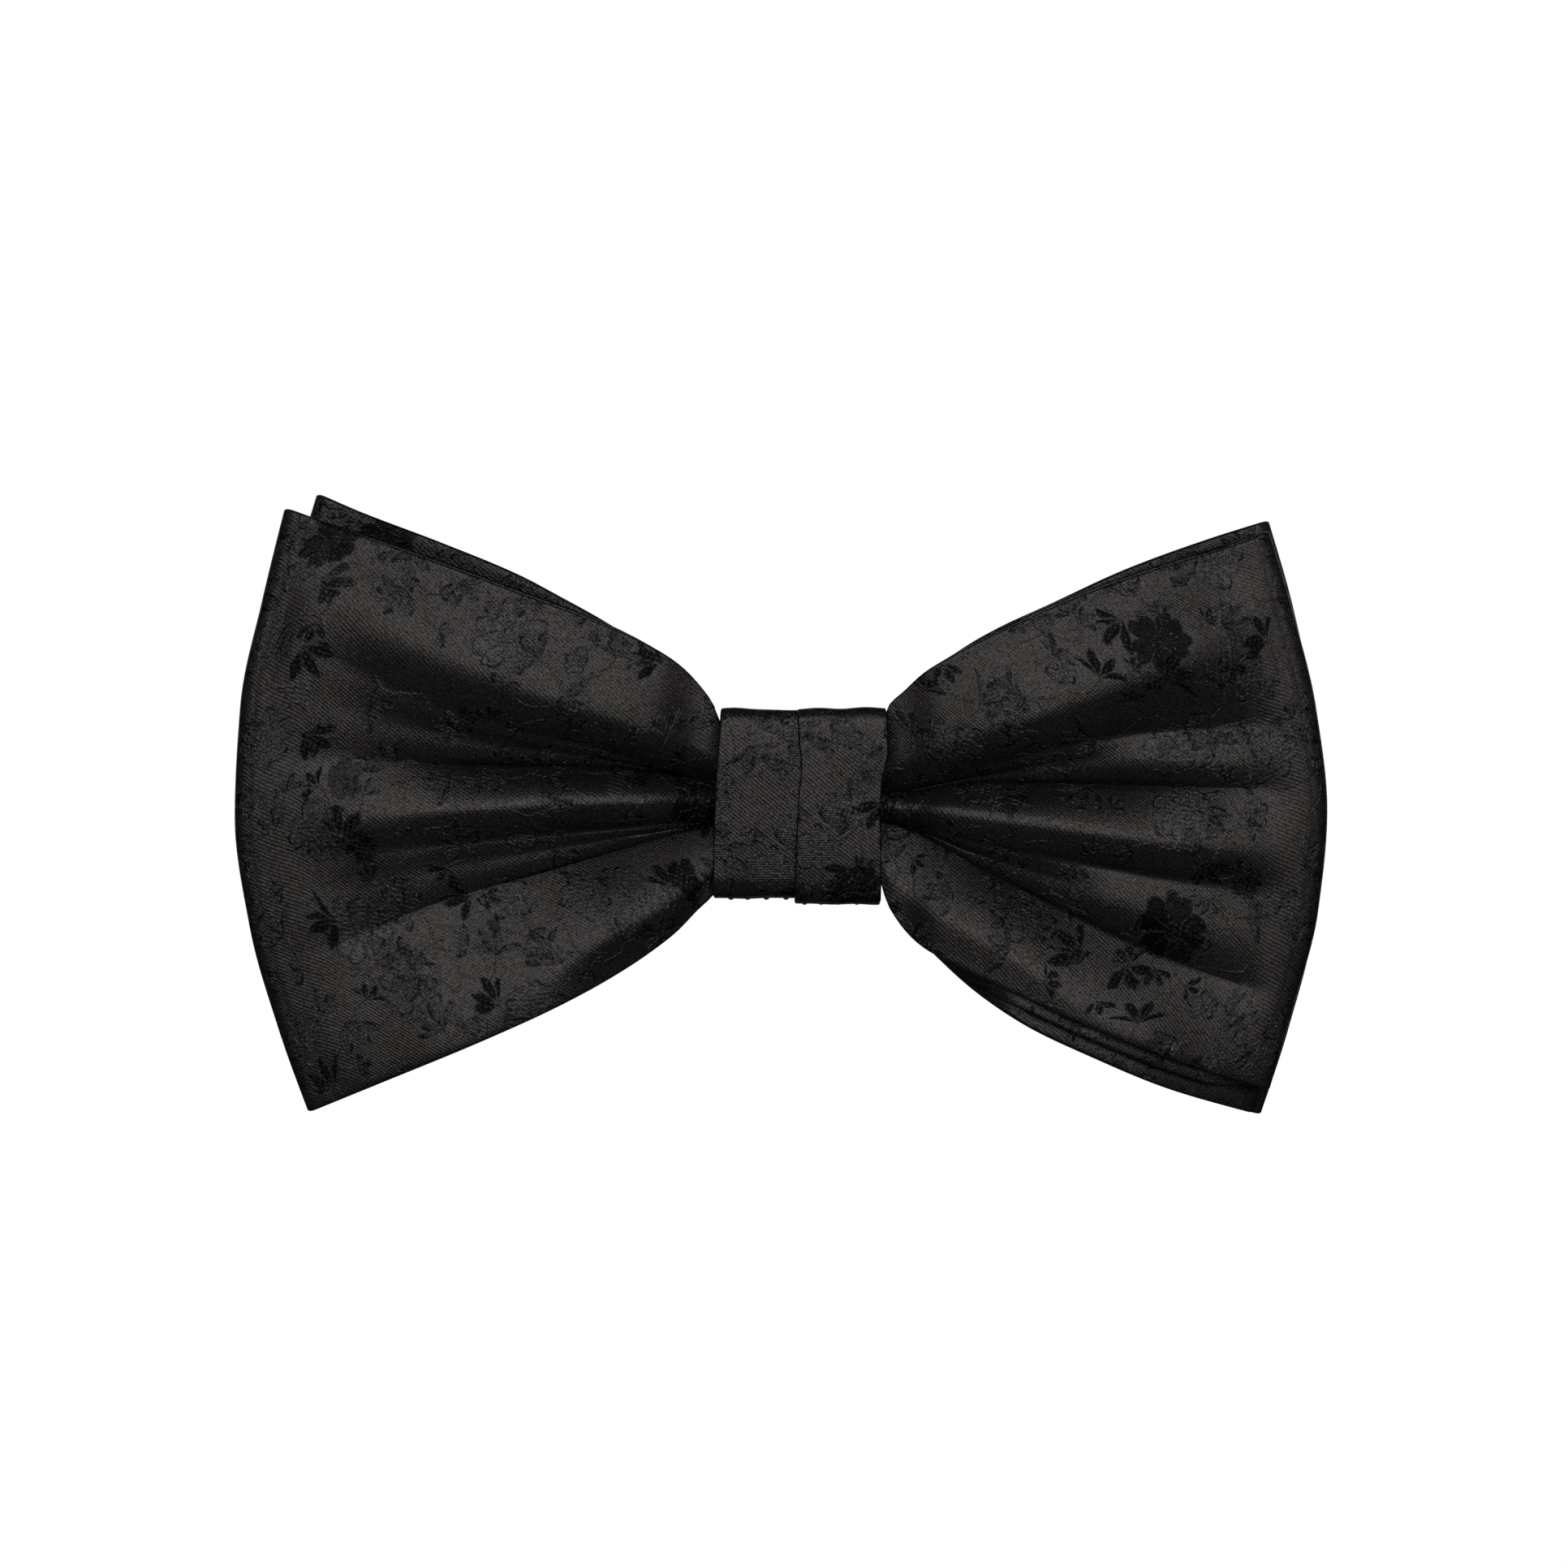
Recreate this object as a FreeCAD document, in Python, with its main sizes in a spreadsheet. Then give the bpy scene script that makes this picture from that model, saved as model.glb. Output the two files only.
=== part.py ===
import FreeCAD, Part
import os
import Sketcher

# A pre-tied two-tier bow tie in its worn shape, in millimetres.
# +X is to the right as the bow is seen from the front, the bow faces -Y and +Z is up.
# The origin is the centre of the knot's flat rear face, which rests on the shirt collar.

os.makedirs("parts", exist_ok=True)
doc = FreeCAD.newDocument("bow_tie")
sheet = doc.addObject("Spreadsheet::Sheet", "Params")

SIZES = {
    # looped cloth strips of the bow
    "strip_thick": 1.4,
    "cloth_thick": 0.4,
    "lining_thick": 0.5,
    "lining_play": 0.05,
    "lining_margin": 1.3,
    "wing_solid_x": 13.5,
    "waist_x": 9.4,
    "waist_z": 8.6,
    "fold_radius": 2.2,
    "trim_height": 90.0,
    # front tier seen from above
    "front_waist_rear": -6.8,
    "front_waist_face": -11.7,
    "front_rear_bulge": -5.6,
    "front_face_bulge": -17.2,
    "front_fold_y": -9.4,
    "front_left_end": -62.3,
    "front_right_end": 57.7,
    "front_left_mid": -34.0,
    "front_right_mid": 32.0,
    # front tier seen from the front
    "front_lt_x": -56.7,
    "front_lt_z": 32.4,
    "front_lb_x": -54.1,
    "front_lb_z": -33.6,
    "front_rt_x": 51.2,
    "front_rt_z": 30.0,
    "front_rb_x": 51.1,
    "front_rb_z": -31.4,
    "front_left_side_z": -0.8,
    "front_right_side_z": -1.2,
    # back tier seen from above
    "back_waist_rear": -3.2,
    "back_waist_face": -6.7,
    "back_rear_bulge": -0.9,
    "back_face_bulge": -5.2,
    "back_fold_y": -2.6,
    "back_left_end": -59.6,
    "back_right_end": 57.4,
    "back_left_mid": -34.0,
    "back_right_mid": 32.0,
    # back tier seen from the front
    "back_lt_x": -53.4,
    "back_lt_z": 34.2,
    "back_lb_x": -53.4,
    "back_lb_z": -32.0,
    "back_rt_x": 51.5,
    "back_rt_z": 31.2,
    "back_rb_x": 50.5,
    "back_rb_z": -33.9,
    "back_left_side_z": 1.0,
    "back_right_side_z": -1.7,
    # where both tiers leave the knot
    "neck_x": 10.3,
    "neck_z": 11.6,
    "shoulder_x": 15.4,
    "shoulder_z": 16.3,
    "flare_x": 22.5,
    "flare_top_z": 20.2,
    "flare_low_z": -19.8,
    # knot
    "knot_left": -9.7,
    "knot_right": 9.2,
    "knot_pleat_x": -0.3,
    "knot_half_z": 10.7,
    "knot_face_y": -13.8,
    "panel_half_z": 10.9,
    "panel_face_y": -14.5,
    "knot_hole_half_z": 9.3,
    "knot_hole_face_y": -12.4,
    "knot_hole_rear_y": -1.2,
    "knot_front_round": 4.0,
    "knot_rear_round": 1.5,
    "knot_hole_round": 1.0,
    "knot_lining_inset": 0.35,
    "knot_lining_side": 1.3,
    # threads
    "binding_thick": 0.5,
    "binding_half_z": 9.2,
    "binding_face_y": -12.3,
    "binding_rear_y": -2.6,
    "binding_pitch": 5.0,
    "stitch_radius": 0.2,
    "stitch_length": 2.4,
    "stitch_pitch": 2.4,
    "stitch_y": -5.2,
    "anchor_radius": 0.11,
    "anchor_length": 2.6,
    "anchor_y": -1.35,
    "anchor_x": 4.0,
    "anchor_pitch": 4.4,
    "tack_thick": 0.3,
    "tack_length": 1.8,
    "tack_height": 13.0,
    # neck strap
    "strap_thick": 1.0,
    "strap_width": 18.0,
    "strap_mid_y": -2.0,
    "strap_gap": 0.5,
    "strap_straight": 12.0,
    "corner_radius": 35.0,
    "corner_turn": 65.0,
    "side_radius": 110.0,
    "side_turn": 40.0,
    "layer_gap": 0.3,
    "loop_outer": 1.75,
    "loop_bore": 0.75,
    # angles on the strap's back arc, from the middle of the back towards +X
    "swing_angle": -58.0,
    "hook_angle": -34.0,
    "eye_angle": -14.0,
    "eye_far_angle": -24.0,
    "adjuster_angle": 26.0,
    "fold_back_angle": 12.0,
    "return_tail_angle": 12.0,
    "return_play_angle": 0.33,
    "swing_socket": 0.7,
    # metal parts
    "wire_radius": 0.5,
    "post_radius": 0.42,
    "frame_half_length": 6.6,
    "frame_half_z": 10.2,
    "frame_lift": 0.95,
    "frame_loop_outer": 1.55,
    "frame_loop_bore": 0.55,
    "hem_thick": 1.0,
    "hem_rise": 0.1,
    "hem_start_angle": 1.2,
    "hem_angle": 8.0,
    "eye_half_z": 9.95,
    "hook_mid_angle": -28.4,
    "hook_plate_low": 0.3,
    "hook_plate_thick": 1.0,
    "hook_heel": -2.8,
    "hook_heel_end": -0.6,
    "hook_neck": 2.0,
    "hook_tip": 6.2,
    "hook_half_z": 10.9,
    "hook_rail": 1.6,
    "hook_tongue_half_z": 3.6,
    "hook_tongue_depth": 3.6,
}

for row, (alias, size) in enumerate(SIZES.items(), start=1):
    sheet.set(f"A{row}", alias)
    sheet.set(f"B{row}", str(size))
    sheet.setAlias(f"B{row}", alias)
doc.recompute()


def cell(alias):
    """The expression that reads one cell of the sheet."""
    return f"Params.{alias}"


def number(expression):
    """The value an expression has now."""
    found = sheet.evalExpression(expression)
    return float(getattr(found, "Value", found))


# ---------------------------------------------------------------- basic shapes

PLANES = {
    "XY": FreeCAD.Rotation(),
    "XZ": FreeCAD.Rotation(FreeCAD.Vector(1, 0, 0), 90),
    "YZ": FreeCAD.Rotation(FreeCAD.Vector(1, 1, 1), 120),
}
ALONG = {
    "X": FreeCAD.Rotation(FreeCAD.Vector(0, 1, 0), 90),
    "Y": FreeCAD.Rotation(FreeCAD.Vector(1, 0, 0), -90),
    "Z": FreeCAD.Rotation(FreeCAD.Vector(0, 0, 1), 0),
}


def point(pair):
    """A vector from a pair of expressions."""
    return FreeCAD.Vector(number(pair[0]), number(pair[1]), 0)


def pin(sketch, geometry, place, pair, name):
    """Ties one sketch point to the origin by two sizes that the sheet drives."""
    for kind, expression in zip(("DistanceX", "DistanceY"), pair):
        rule = Sketcher.Constraint(kind, -1, 1, geometry, place, number(expression))
        index = sketch.addConstraint(rule)
        label = f"{name}_{kind[-1]}"
        sketch.renameConstraint(index, label)
        sketch.setExpression(f"Constraints.{label}", expression)


def outline(name, plane, steps):
    """A closed outline: each step is its end point, or a point on the arc and its end point."""
    sketch = doc.addObject("Sketcher::SketchObject", name)
    sketch.Placement.Rotation = PLANES[plane]
    start = steps[-1][-1]
    ends = []
    for count, step in enumerate(steps):
        a, b = point(start), point(step[-1])
        forward = True
        if len(step) == 1:
            index = sketch.addGeometry(Part.LineSegment(a, b), False)
        else:
            through = point(step[0])
            forward = (through - a).cross(b - through).z > 0
            arc = Part.Arc(a, through, b) if forward else Part.Arc(b, through, a)
            index = sketch.addGeometry(arc, False)
            on_arc = sketch.addGeometry(Part.Point(through), True)
            pin(sketch, on_arc, 1, step[0], f"arc{count}")
            rule = Sketcher.Constraint("PointOnObject", on_arc, 1, index)
            sketch.addConstraint(rule)
        first, last = (1, 2) if forward else (2, 1)
        pin(sketch, index, last, step[-1], f"end{count}")
        ends.append((index, first, last))
        start = step[-1]
    for (one, _, last), (other, first, _) in zip(ends, ends[1:] + ends[:1]):
        sketch.addConstraint(Sketcher.Constraint("Coincident", one, last, other, first))
    return sketch


def inset(name, source, amount):
    """The source outline moved inwards."""
    moved = doc.addObject("Part::Offset2D", name)
    moved.Source = source
    moved.Mode = "Pipe"
    moved.Join = "Arc"
    moved.setExpression("Value", f"-({amount})")
    return moved


def prism(name, source, direction, length, start=None):
    """A solid pulled from an outline, evenly to both sides unless it has a start."""
    solid = doc.addObject("Part::Extrusion", name)
    solid.Base = source
    solid.DirMode = "Custom"
    solid.Dir = FreeCAD.Vector(*direction)
    solid.Solid = True
    solid.Symmetric = start is None
    solid.setExpression("LengthFwd", length)
    if start is not None:
        place(solid, start)
    return solid


def place(obj, position, turn=None):
    """Binds where an object stands, and its turn about the upright axis."""
    for axis, expression in zip("xyz", position):
        obj.setExpression(f"Placement.Base.{axis}", expression)
    if turn is not None:
        obj.Placement.Rotation = FreeCAD.Rotation(FreeCAD.Vector(0, 0, 1), 1)
        obj.setExpression("Placement.Rotation.Angle", turn)
    return obj


def rod(name, radius, length, middle, along="Z"):
    """A round rod centred on a point."""
    solid = doc.addObject("Part::Cylinder", name)
    solid.setExpression("Radius", radius)
    solid.setExpression("Height", length)
    solid.Placement.Rotation = ALONG[along]
    position = list(middle)
    axis = "XYZ".index(along)
    position[axis] = f"({position[axis]}) - ({length}) / 2"
    return place(solid, position)


def ball(name, radius, middle):
    """A ball centred on a point."""
    solid = doc.addObject("Part::Sphere", name)
    solid.setExpression("Radius", radius)
    return place(solid, middle)


def block(name, low, high):
    """A box between two corners."""
    solid = doc.addObject("Part::Box", name)
    for side, a, b in zip(("Length", "Width", "Height"), low, high):
        solid.setExpression(side, f"({b}) - ({a})")
    return place(solid, low)


def fuse(name, shapes):
    """One solid from several that meet."""
    joined = doc.addObject("Part::MultiFuse", name)
    joined.Shapes = shapes
    joined.Refine = True
    return joined


def cut(name, base, tool):
    """The base without the tool."""
    rest = doc.addObject("Part::Cut", name)
    rest.Base = base
    rest.Tool = tool
    rest.Refine = True
    return rest


def common(name, one, other):
    """What two solids share."""
    shared = doc.addObject("Part::Common", name)
    shared.Base = one
    shared.Tool = other
    shared.Refine = True
    return shared


def group(name, shapes):
    """Separate solids kept together under one name."""
    kept = doc.addObject("Part::Compound", name)
    kept.Links = shapes
    return kept


# ---------------------------------------------------------------- the two tiers


def tier_plan(tier):
    """A tier from above: a flat waist and a looped wing on each side of it."""
    rear, face = cell(f"{tier}_waist_rear"), cell(f"{tier}_waist_face")
    fold, radius = cell(f"{tier}_fold_y"), cell("fold_radius")
    left, right = cell(f"{tier}_left_end"), cell(f"{tier}_right_end")
    left_mid, right_mid = cell(f"{tier}_left_mid"), cell(f"{tier}_right_mid")
    back, front = cell(f"{tier}_rear_bulge"), cell(f"{tier}_face_bulge")
    waist = cell("waist_x")
    steps = [
        [(waist, rear)],
        [(right_mid, back), (f"{right} - {radius}", f"{fold} + {radius}")],
        [(right, fold), (f"{right} - {radius}", f"{fold} - {radius}")],
        [(right_mid, front), (waist, face)],
        [(f"-{waist}", face)],
        [(left_mid, front), (f"{left} + {radius}", f"{fold} - {radius}")],
        [(left, fold), (f"{left} + {radius}", f"{fold} + {radius}")],
        [(left_mid, back), (f"-{waist}", rear)],
    ]
    return outline(f"{tier}_plan", "XY", steps)


def tier_outline(tier):
    """A tier from the front: a narrow waist and flared wings with a bowed outer fold."""
    waist, half = cell("waist_x"), cell("waist_z")
    neck, neck_z = cell("neck_x"), cell("neck_z")
    shoulder, shoulder_z = cell("shoulder_x"), cell("shoulder_z")
    flare, top, low = cell("flare_x"), cell("flare_top_z"), cell("flare_low_z")
    corner = {
        key: (cell(f"{tier}_{key}_x"), cell(f"{tier}_{key}_z"))
        for key in ("lt", "lb", "rt", "rb")
    }
    left = (cell(f"{tier}_left_end"), cell(f"{tier}_left_side_z"))
    right = (cell(f"{tier}_right_end"), cell(f"{tier}_right_side_z"))
    steps = [
        [(waist, half)],
        [(neck, neck_z)],
        [(shoulder, shoulder_z), (flare, top)],
        [corner["rt"]],
        [right, corner["rb"]],
        [(flare, low)],
        [(shoulder, f"-{shoulder_z}"), (neck, f"-{neck_z}")],
        [(waist, f"-{half}")],
        [(f"-{waist}", f"-{half}")],
        [(f"-{neck}", f"-{neck_z}")],
        [(f"-{shoulder}", f"-{shoulder_z}"), (f"-{flare}", low)],
        [corner["lb"]],
        [left, corner["lt"]],
        [(f"-{flare}", top)],
        [(f"-{shoulder}", shoulder_z), (f"-{neck}", neck_z)],
        [(f"-{waist}", half)],
    ]
    return outline(f"{tier}_outline", "XZ", steps)


def layer(name, plan, face, outer, inner, margin):
    """A loop of cloth between two depths in the strip, kept in from the tier's edges."""
    height = cell("trim_height")
    ring = cut(
        f"{name}_ring",
        prism(f"{name}_out", inset(f"{name}_o", plan, outer), (0, 0, 1), height),
        prism(f"{name}_in", inset(f"{name}_i", plan, inner), (0, 0, 1), height),
    )
    trim = prism(f"{name}_trim", inset(f"{name}_t", face, margin), (0, 1, 0), height)
    return common(name, ring, trim)


def tier(name):
    """The looped outer cloth of one tier and the interlining sealed inside its strip."""
    height = cell("trim_height")
    plan, face = tier_plan(name), tier_outline(name)
    depth, play = cell("cloth_thick"), cell("lining_play")
    end = f"{depth} + {cell('lining_thick')}"
    margin = cell("lining_margin")
    lining = layer(
        f"{name}_bow_interlining", plan, face, f"{depth} + {play}", f"{end} + {play}", margin
    )
    pocket = layer(
        f"{name}_pocket", plan, face, depth, f"{end} + 2 * {play}", f"{margin} - {play}"
    )
    body = common(
        f"{name}_body",
        prism(f"{name}_loop", plan, (0, 0, 1), height),
        prism(f"{name}_flare", face, (0, 1, 0), height),
    )
    inside = prism(
        f"{name}_inside", inset(f"{name}_n", plan, cell("strip_thick")), (0, 0, 1), height
    )
    solid_x = cell("wing_solid_x")
    middle = block(
        f"{name}_middle",
        (f"-{solid_x}", f"-{height} / 2", f"-{height} / 2"),
        (solid_x, f"{height} / 2", f"{height} / 2"),
    )
    hollows = cut(f"{name}_hollows", inside, middle)
    looped = cut(f"{name}_looped", body, hollows)
    return cut(f"{name}_bow_shell", looped, pocket), lining


# ---------------------------------------------------------------- the knot


def rounded(name, face, rear, half, front_round, rear_round):
    """A rounded rectangle from the side, with its own rounding at the front and the rear."""

    def bend(y, z, turn_y, turn_z, radius):
        """The middle of a rounded corner."""
        shift = f"{radius} * (1 - sqrt(0.5))"
        return (f"{y} {turn_y} {shift}", f"{z} {turn_z} {shift}")

    f, r = front_round, rear_round
    steps = [
        [(f"{rear} - {r}", f"-({half})")],
        [bend(rear, f"-({half})", "-", "+", r), (rear, f"-({half}) + {r}")],
        [(rear, f"{half} - {r}")],
        [bend(rear, half, "-", "-", r), (f"{rear} - {r}", half)],
        [(f"{face} + {f}", half)],
        [bend(face, half, "+", "-", f), (face, f"{half} - {f}")],
        [(face, f"-({half}) + {f}")],
        [bend(face, f"-({half})", "+", "+", f), (f"{face} + {f}", f"-({half})")],
    ]
    return outline(name, "YZ", steps)


def knot():
    """The wrap round the waist, its overlapping right panel, lining, stitches and binding."""
    left, right, pleat = cell("knot_left"), cell("knot_right"), cell("knot_pleat_x")
    face, half = cell("knot_face_y"), cell("knot_half_z")
    front, rear = cell("knot_front_round"), cell("knot_rear_round")
    hole_face, hole_rear = cell("knot_hole_face_y"), cell("knot_hole_rear_y")
    hole_half, hole_round = cell("knot_hole_half_z"), cell("knot_hole_round")

    base = prism(
        "wrap_base",
        rounded("wrap_side", face, "0", half, front, rear),
        (1, 0, 0),
        f"{right} - {left}",
        (left, "0", "0"),
    )
    panel = prism(
        "wrap_panel",
        rounded("panel_side", cell("panel_face_y"), "0", cell("panel_half_z"), front, rear),
        (1, 0, 0),
        f"{right} - {pleat}",
        (pleat, "0", "0"),
    )
    hole_side = rounded("hole_side", hole_face, hole_rear, hole_half, hole_round, hole_round)
    hole = prism("wrap_hole", hole_side, (1, 0, 0), cell("trim_height"))
    wrap = cut("wrap_ring", fuse("wrap_layers", [base, panel]), hole)

    def lining(name, play):
        """A ring inside the wrap's thickness, short of its two edges."""
        out = f"{cell('knot_lining_inset')} - {play}"
        gap = f"{out} + {cell('lining_thick')} + 2 * {play}"
        side = f"{cell('knot_lining_side')} - {play}"
        rings = []
        for key, step in (("out", out), ("in", gap)):
            shape = rounded(
                f"{name}_{key}_side",
                f"{face} + {step}",
                f"-({step})",
                f"{half} - ({step})",
                f"({front} - ({step}))",
                f"({rear} - ({step}))",
            )
            length = f"{right} - {left} - 2 * ({side})"
            rings.append(
                prism(f"{name}_{key}", shape, (1, 0, 0), length, (f"{left} + {side}", "0", "0"))
            )
        return cut(name, *rings)

    wrap = cut("knot_wrap", wrap, lining("wrap_pocket", cell("lining_play")))
    core = lining("knot_interlining", "0")

    pitch, radius = cell("stitch_pitch"), cell("stitch_radius")
    below = f"-{cell('panel_half_z')} - {radius} - {cell('lining_play')}"
    stitches = group(
        "knot_closing_stitches",
        [
            rod(
                f"closing_stitch_{i}",
                radius,
                cell("stitch_length"),
                (f"{i} * {pitch}", cell("stitch_y"), below),
                "Y",
            )
            for i in range(-3, 4)
        ],
    )
    return wrap, core, stitches


def binding():
    """Three turns of thread that draw both tiers' waists together under the wrap."""
    thick, half = cell("binding_thick"), cell("binding_half_z")
    face, rear = cell("binding_face_y"), cell("binding_rear_y")
    turns = []
    for i in (-1, 0, 1):
        loops = []
        for key, step, bend in (("out", "0", "1.0"), ("in", thick, "0.5")):
            shape = rounded(
                f"binding_{key}_side_{i + 1}",
                f"{face} + {step}",
                f"{rear} - {step}",
                f"{half} - {step}",
                bend,
                bend,
            )
            start = (f"{i} * {cell('binding_pitch')} - {thick} / 2", "0", "0")
            loops.append(prism(f"binding_{key}_{i + 1}", shape, (1, 0, 0), thick, start))
        turns.append(cut(f"binding_turn_{i + 1}", *loops))
    return group("waist_binding", turns)


# ---------------------------------------------------------------- the neck strap

MID = cell("strap_mid_y")
STRAIGHT = cell("strap_straight")
CORNER = cell("corner_radius")
SIDE = cell("side_radius")
TURN = cell("corner_turn")
TURN_2 = f"({TURN} + {cell('side_turn')})"
CORNER_Y = f"({MID} + {CORNER})"
SIDE_X = f"({STRAIGHT} + ({CORNER} - {SIDE}) * sin({TURN}))"
SIDE_Y = f"({CORNER_Y} + ({SIDE} - {CORNER}) * cos({TURN}))"
END_X = f"({SIDE_X} + {SIDE} * sin({TURN_2}))"
END_Y = f"({SIDE_Y} - {SIDE} * cos({TURN_2}))"
BACK = f"({END_X} / sin({TURN_2}))"
BACK_Y = f"({END_Y} + {BACK} * cos({TURN_2}))"
BACK_HALF = f"(180 - {TURN_2})"

THICK = cell("strap_thick")
WIDTH = cell("strap_width")
LAYER = f"({THICK} + {cell('layer_gap')})"
LOOP_R = f"({BACK} - {LAYER} / 2)"


def arc_strip(name, centre, radius, start, sweep, thick=THICK, height=WIDTH):
    """An upright strip bent on a circle, from a start angle through a sweep."""
    outer = doc.addObject("Part::Cylinder", f"{name}_outer")
    outer.setExpression("Radius", f"{radius} + {thick} / 2")
    outer.setExpression("Height", height)
    outer.setExpression("Angle", sweep)
    place(outer, (centre[0], centre[1], f"-{height} / 2"), start)
    hollow = rod(f"{name}_hollow", f"{radius} - {thick} / 2", f"{height} + 2", (*centre, "0"))
    return cut(name, outer, hollow)


def back_strip(name, first, last, radius=BACK, thick=THICK, height=WIDTH):
    """A strip on the back arc between two angles from the middle of the back."""
    return arc_strip(
        name, ("0", BACK_Y), radius, f"90 - ({last})", f"({last}) - ({first})", thick, height
    )


def on_back(angle, radius=BACK):
    """A point of the back arc at an angle from its middle."""
    return (f"{radius} * sin({angle})", f"{BACK_Y} + {radius} * cos({angle})", "0")


def strap_side(name, sign, back):
    """One side's strap from the knot to the back arc, as joined lengths."""
    gap = cell("strap_gap")
    ends = (gap, STRAIGHT) if sign > 0 else (f"-{STRAIGHT}", f"-{gap}")
    low, high = f"{MID} - {THICK} / 2", f"{MID} + {THICK} / 2"
    straight = block(
        f"{name}_straight", (ends[0], low, f"-{WIDTH} / 2"), (ends[1], high, f"{WIDTH} / 2")
    )
    corner_start = "-90" if sign > 0 else f"270 - {TURN}"
    side_start = f"{TURN} - 90" if sign > 0 else f"270 - {TURN_2}"
    side = "" if sign > 0 else "-"
    corner = arc_strip(
        f"{name}_corner", (f"{side}{STRAIGHT}", CORNER_Y), CORNER, corner_start, TURN
    )
    flank = arc_strip(
        f"{name}_flank", (f"{side}{SIDE_X}", SIDE_Y), SIDE, side_start, cell("side_turn")
    )
    return [straight, corner, flank, back]


def straps():
    """Both straps: the left ends in a fold for the hook, the right doubles back from the eye."""
    swing, hook, eye = cell("swing_angle"), cell("hook_angle"), cell("eye_angle")
    adjuster = cell("adjuster_angle")
    tall = f"{WIDTH} + 2"
    inner = f"({BACK} - {LAYER})"
    loop, bore = cell("loop_outer"), cell("loop_bore")

    left = fuse(
        "strap_left_lengths",
        strap_side("left", -1, back_strip("left_back", f"-{BACK_HALF}", swing)),
    )
    left = cut(
        "strap_left", left, rod("swing_socket", cell("swing_socket"), tall, on_back(swing))
    )

    tip = fuse(
        "strap_tip_lengths",
        [
            back_strip("tip_outer", swing, hook),
            rod("tip_root", f"{THICK} / 2", WIDTH, on_back(swing)),
            rod("tip_loop", loop, WIDTH, on_back(hook, LOOP_R)),
            back_strip("tip_inner", f"{hook} - {cell('fold_back_angle')}", hook, inner),
        ],
    )
    tip = cut("strap_left_tip", tip, rod("tip_bore", bore, tall, on_back(hook, LOOP_R)))

    right = fuse(
        "strap_right_lengths",
        strap_side("right", 1, back_strip("right_back", eye, BACK_HALF))
        + [rod("right_loop", loop, WIDTH, on_back(eye, LOOP_R))],
    )
    right = cut("strap_right", right, rod("right_bore", bore, tall, on_back(eye, LOOP_R)))

    tail = cell("return_tail_angle")
    returning = cut(
        "strap_right_return",
        back_strip("return_layer", eye, f"{adjuster} - {tail} - {cell('return_play_angle')}", inner),
        rod("return_clear", f"{loop} + {cell('lining_play')}", tall, on_back(eye, LOOP_R)),
    )
    return left, tip, right, returning


def strap_threads():
    """Stitches that hold the straps to the waist, and the bar tack on the hook's fold."""
    anchors = []
    for side in (-1, 1):
        for row in (-1, 0, 1):
            anchors.append(
                rod(
                    f"anchor_{side + 1}_{row + 1}",
                    cell("anchor_radius"),
                    cell("anchor_length"),
                    (
                        f"{side} * {cell('anchor_x')}",
                        cell("anchor_y"),
                        f"{row} * {cell('anchor_pitch')}",
                    ),
                )
            )
    thick = cell("tack_thick")
    depth = f"({BACK} - {LAYER} - {THICK} / 2 - {cell('lining_play')} - {thick} / 2)"
    middle = f"({cell('hook_angle')} - {cell('fold_back_angle')} * 0.7)"
    half = f"({cell('tack_length')} / {BACK} * 90 / pi)"
    tack = back_strip(
        "strap_left_bartack",
        f"{middle} - {half}",
        f"{middle} + {half}",
        depth,
        thick,
        cell("tack_height"),
    )
    return group("strap_anchor_stitches", anchors), tack


# ---------------------------------------------------------------- adjuster, eye and hook


def wire_loop(name, low, high, half, lift):
    """A rectangle of round wire with ball corners, upright, along local X."""
    radius = cell("wire_radius")
    parts = []
    for i, x in enumerate((low, high)):
        parts.append(rod(f"{name}_bar_{i}", radius, f"2 * {half}", (x, lift, "0")))
        for j, z in enumerate((f"-{half}", half)):
            parts.append(ball(f"{name}_corner_{i}_{j}", radius, (x, lift, z)))
    middle = f"(({low}) + ({high})) / 2"
    for j, z in enumerate((f"-{half}", half)):
        parts.append(
            rod(f"{name}_rail_{j}", radius, f"({high}) - ({low})", (middle, lift, z), "X")
        )
    return parts


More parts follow.
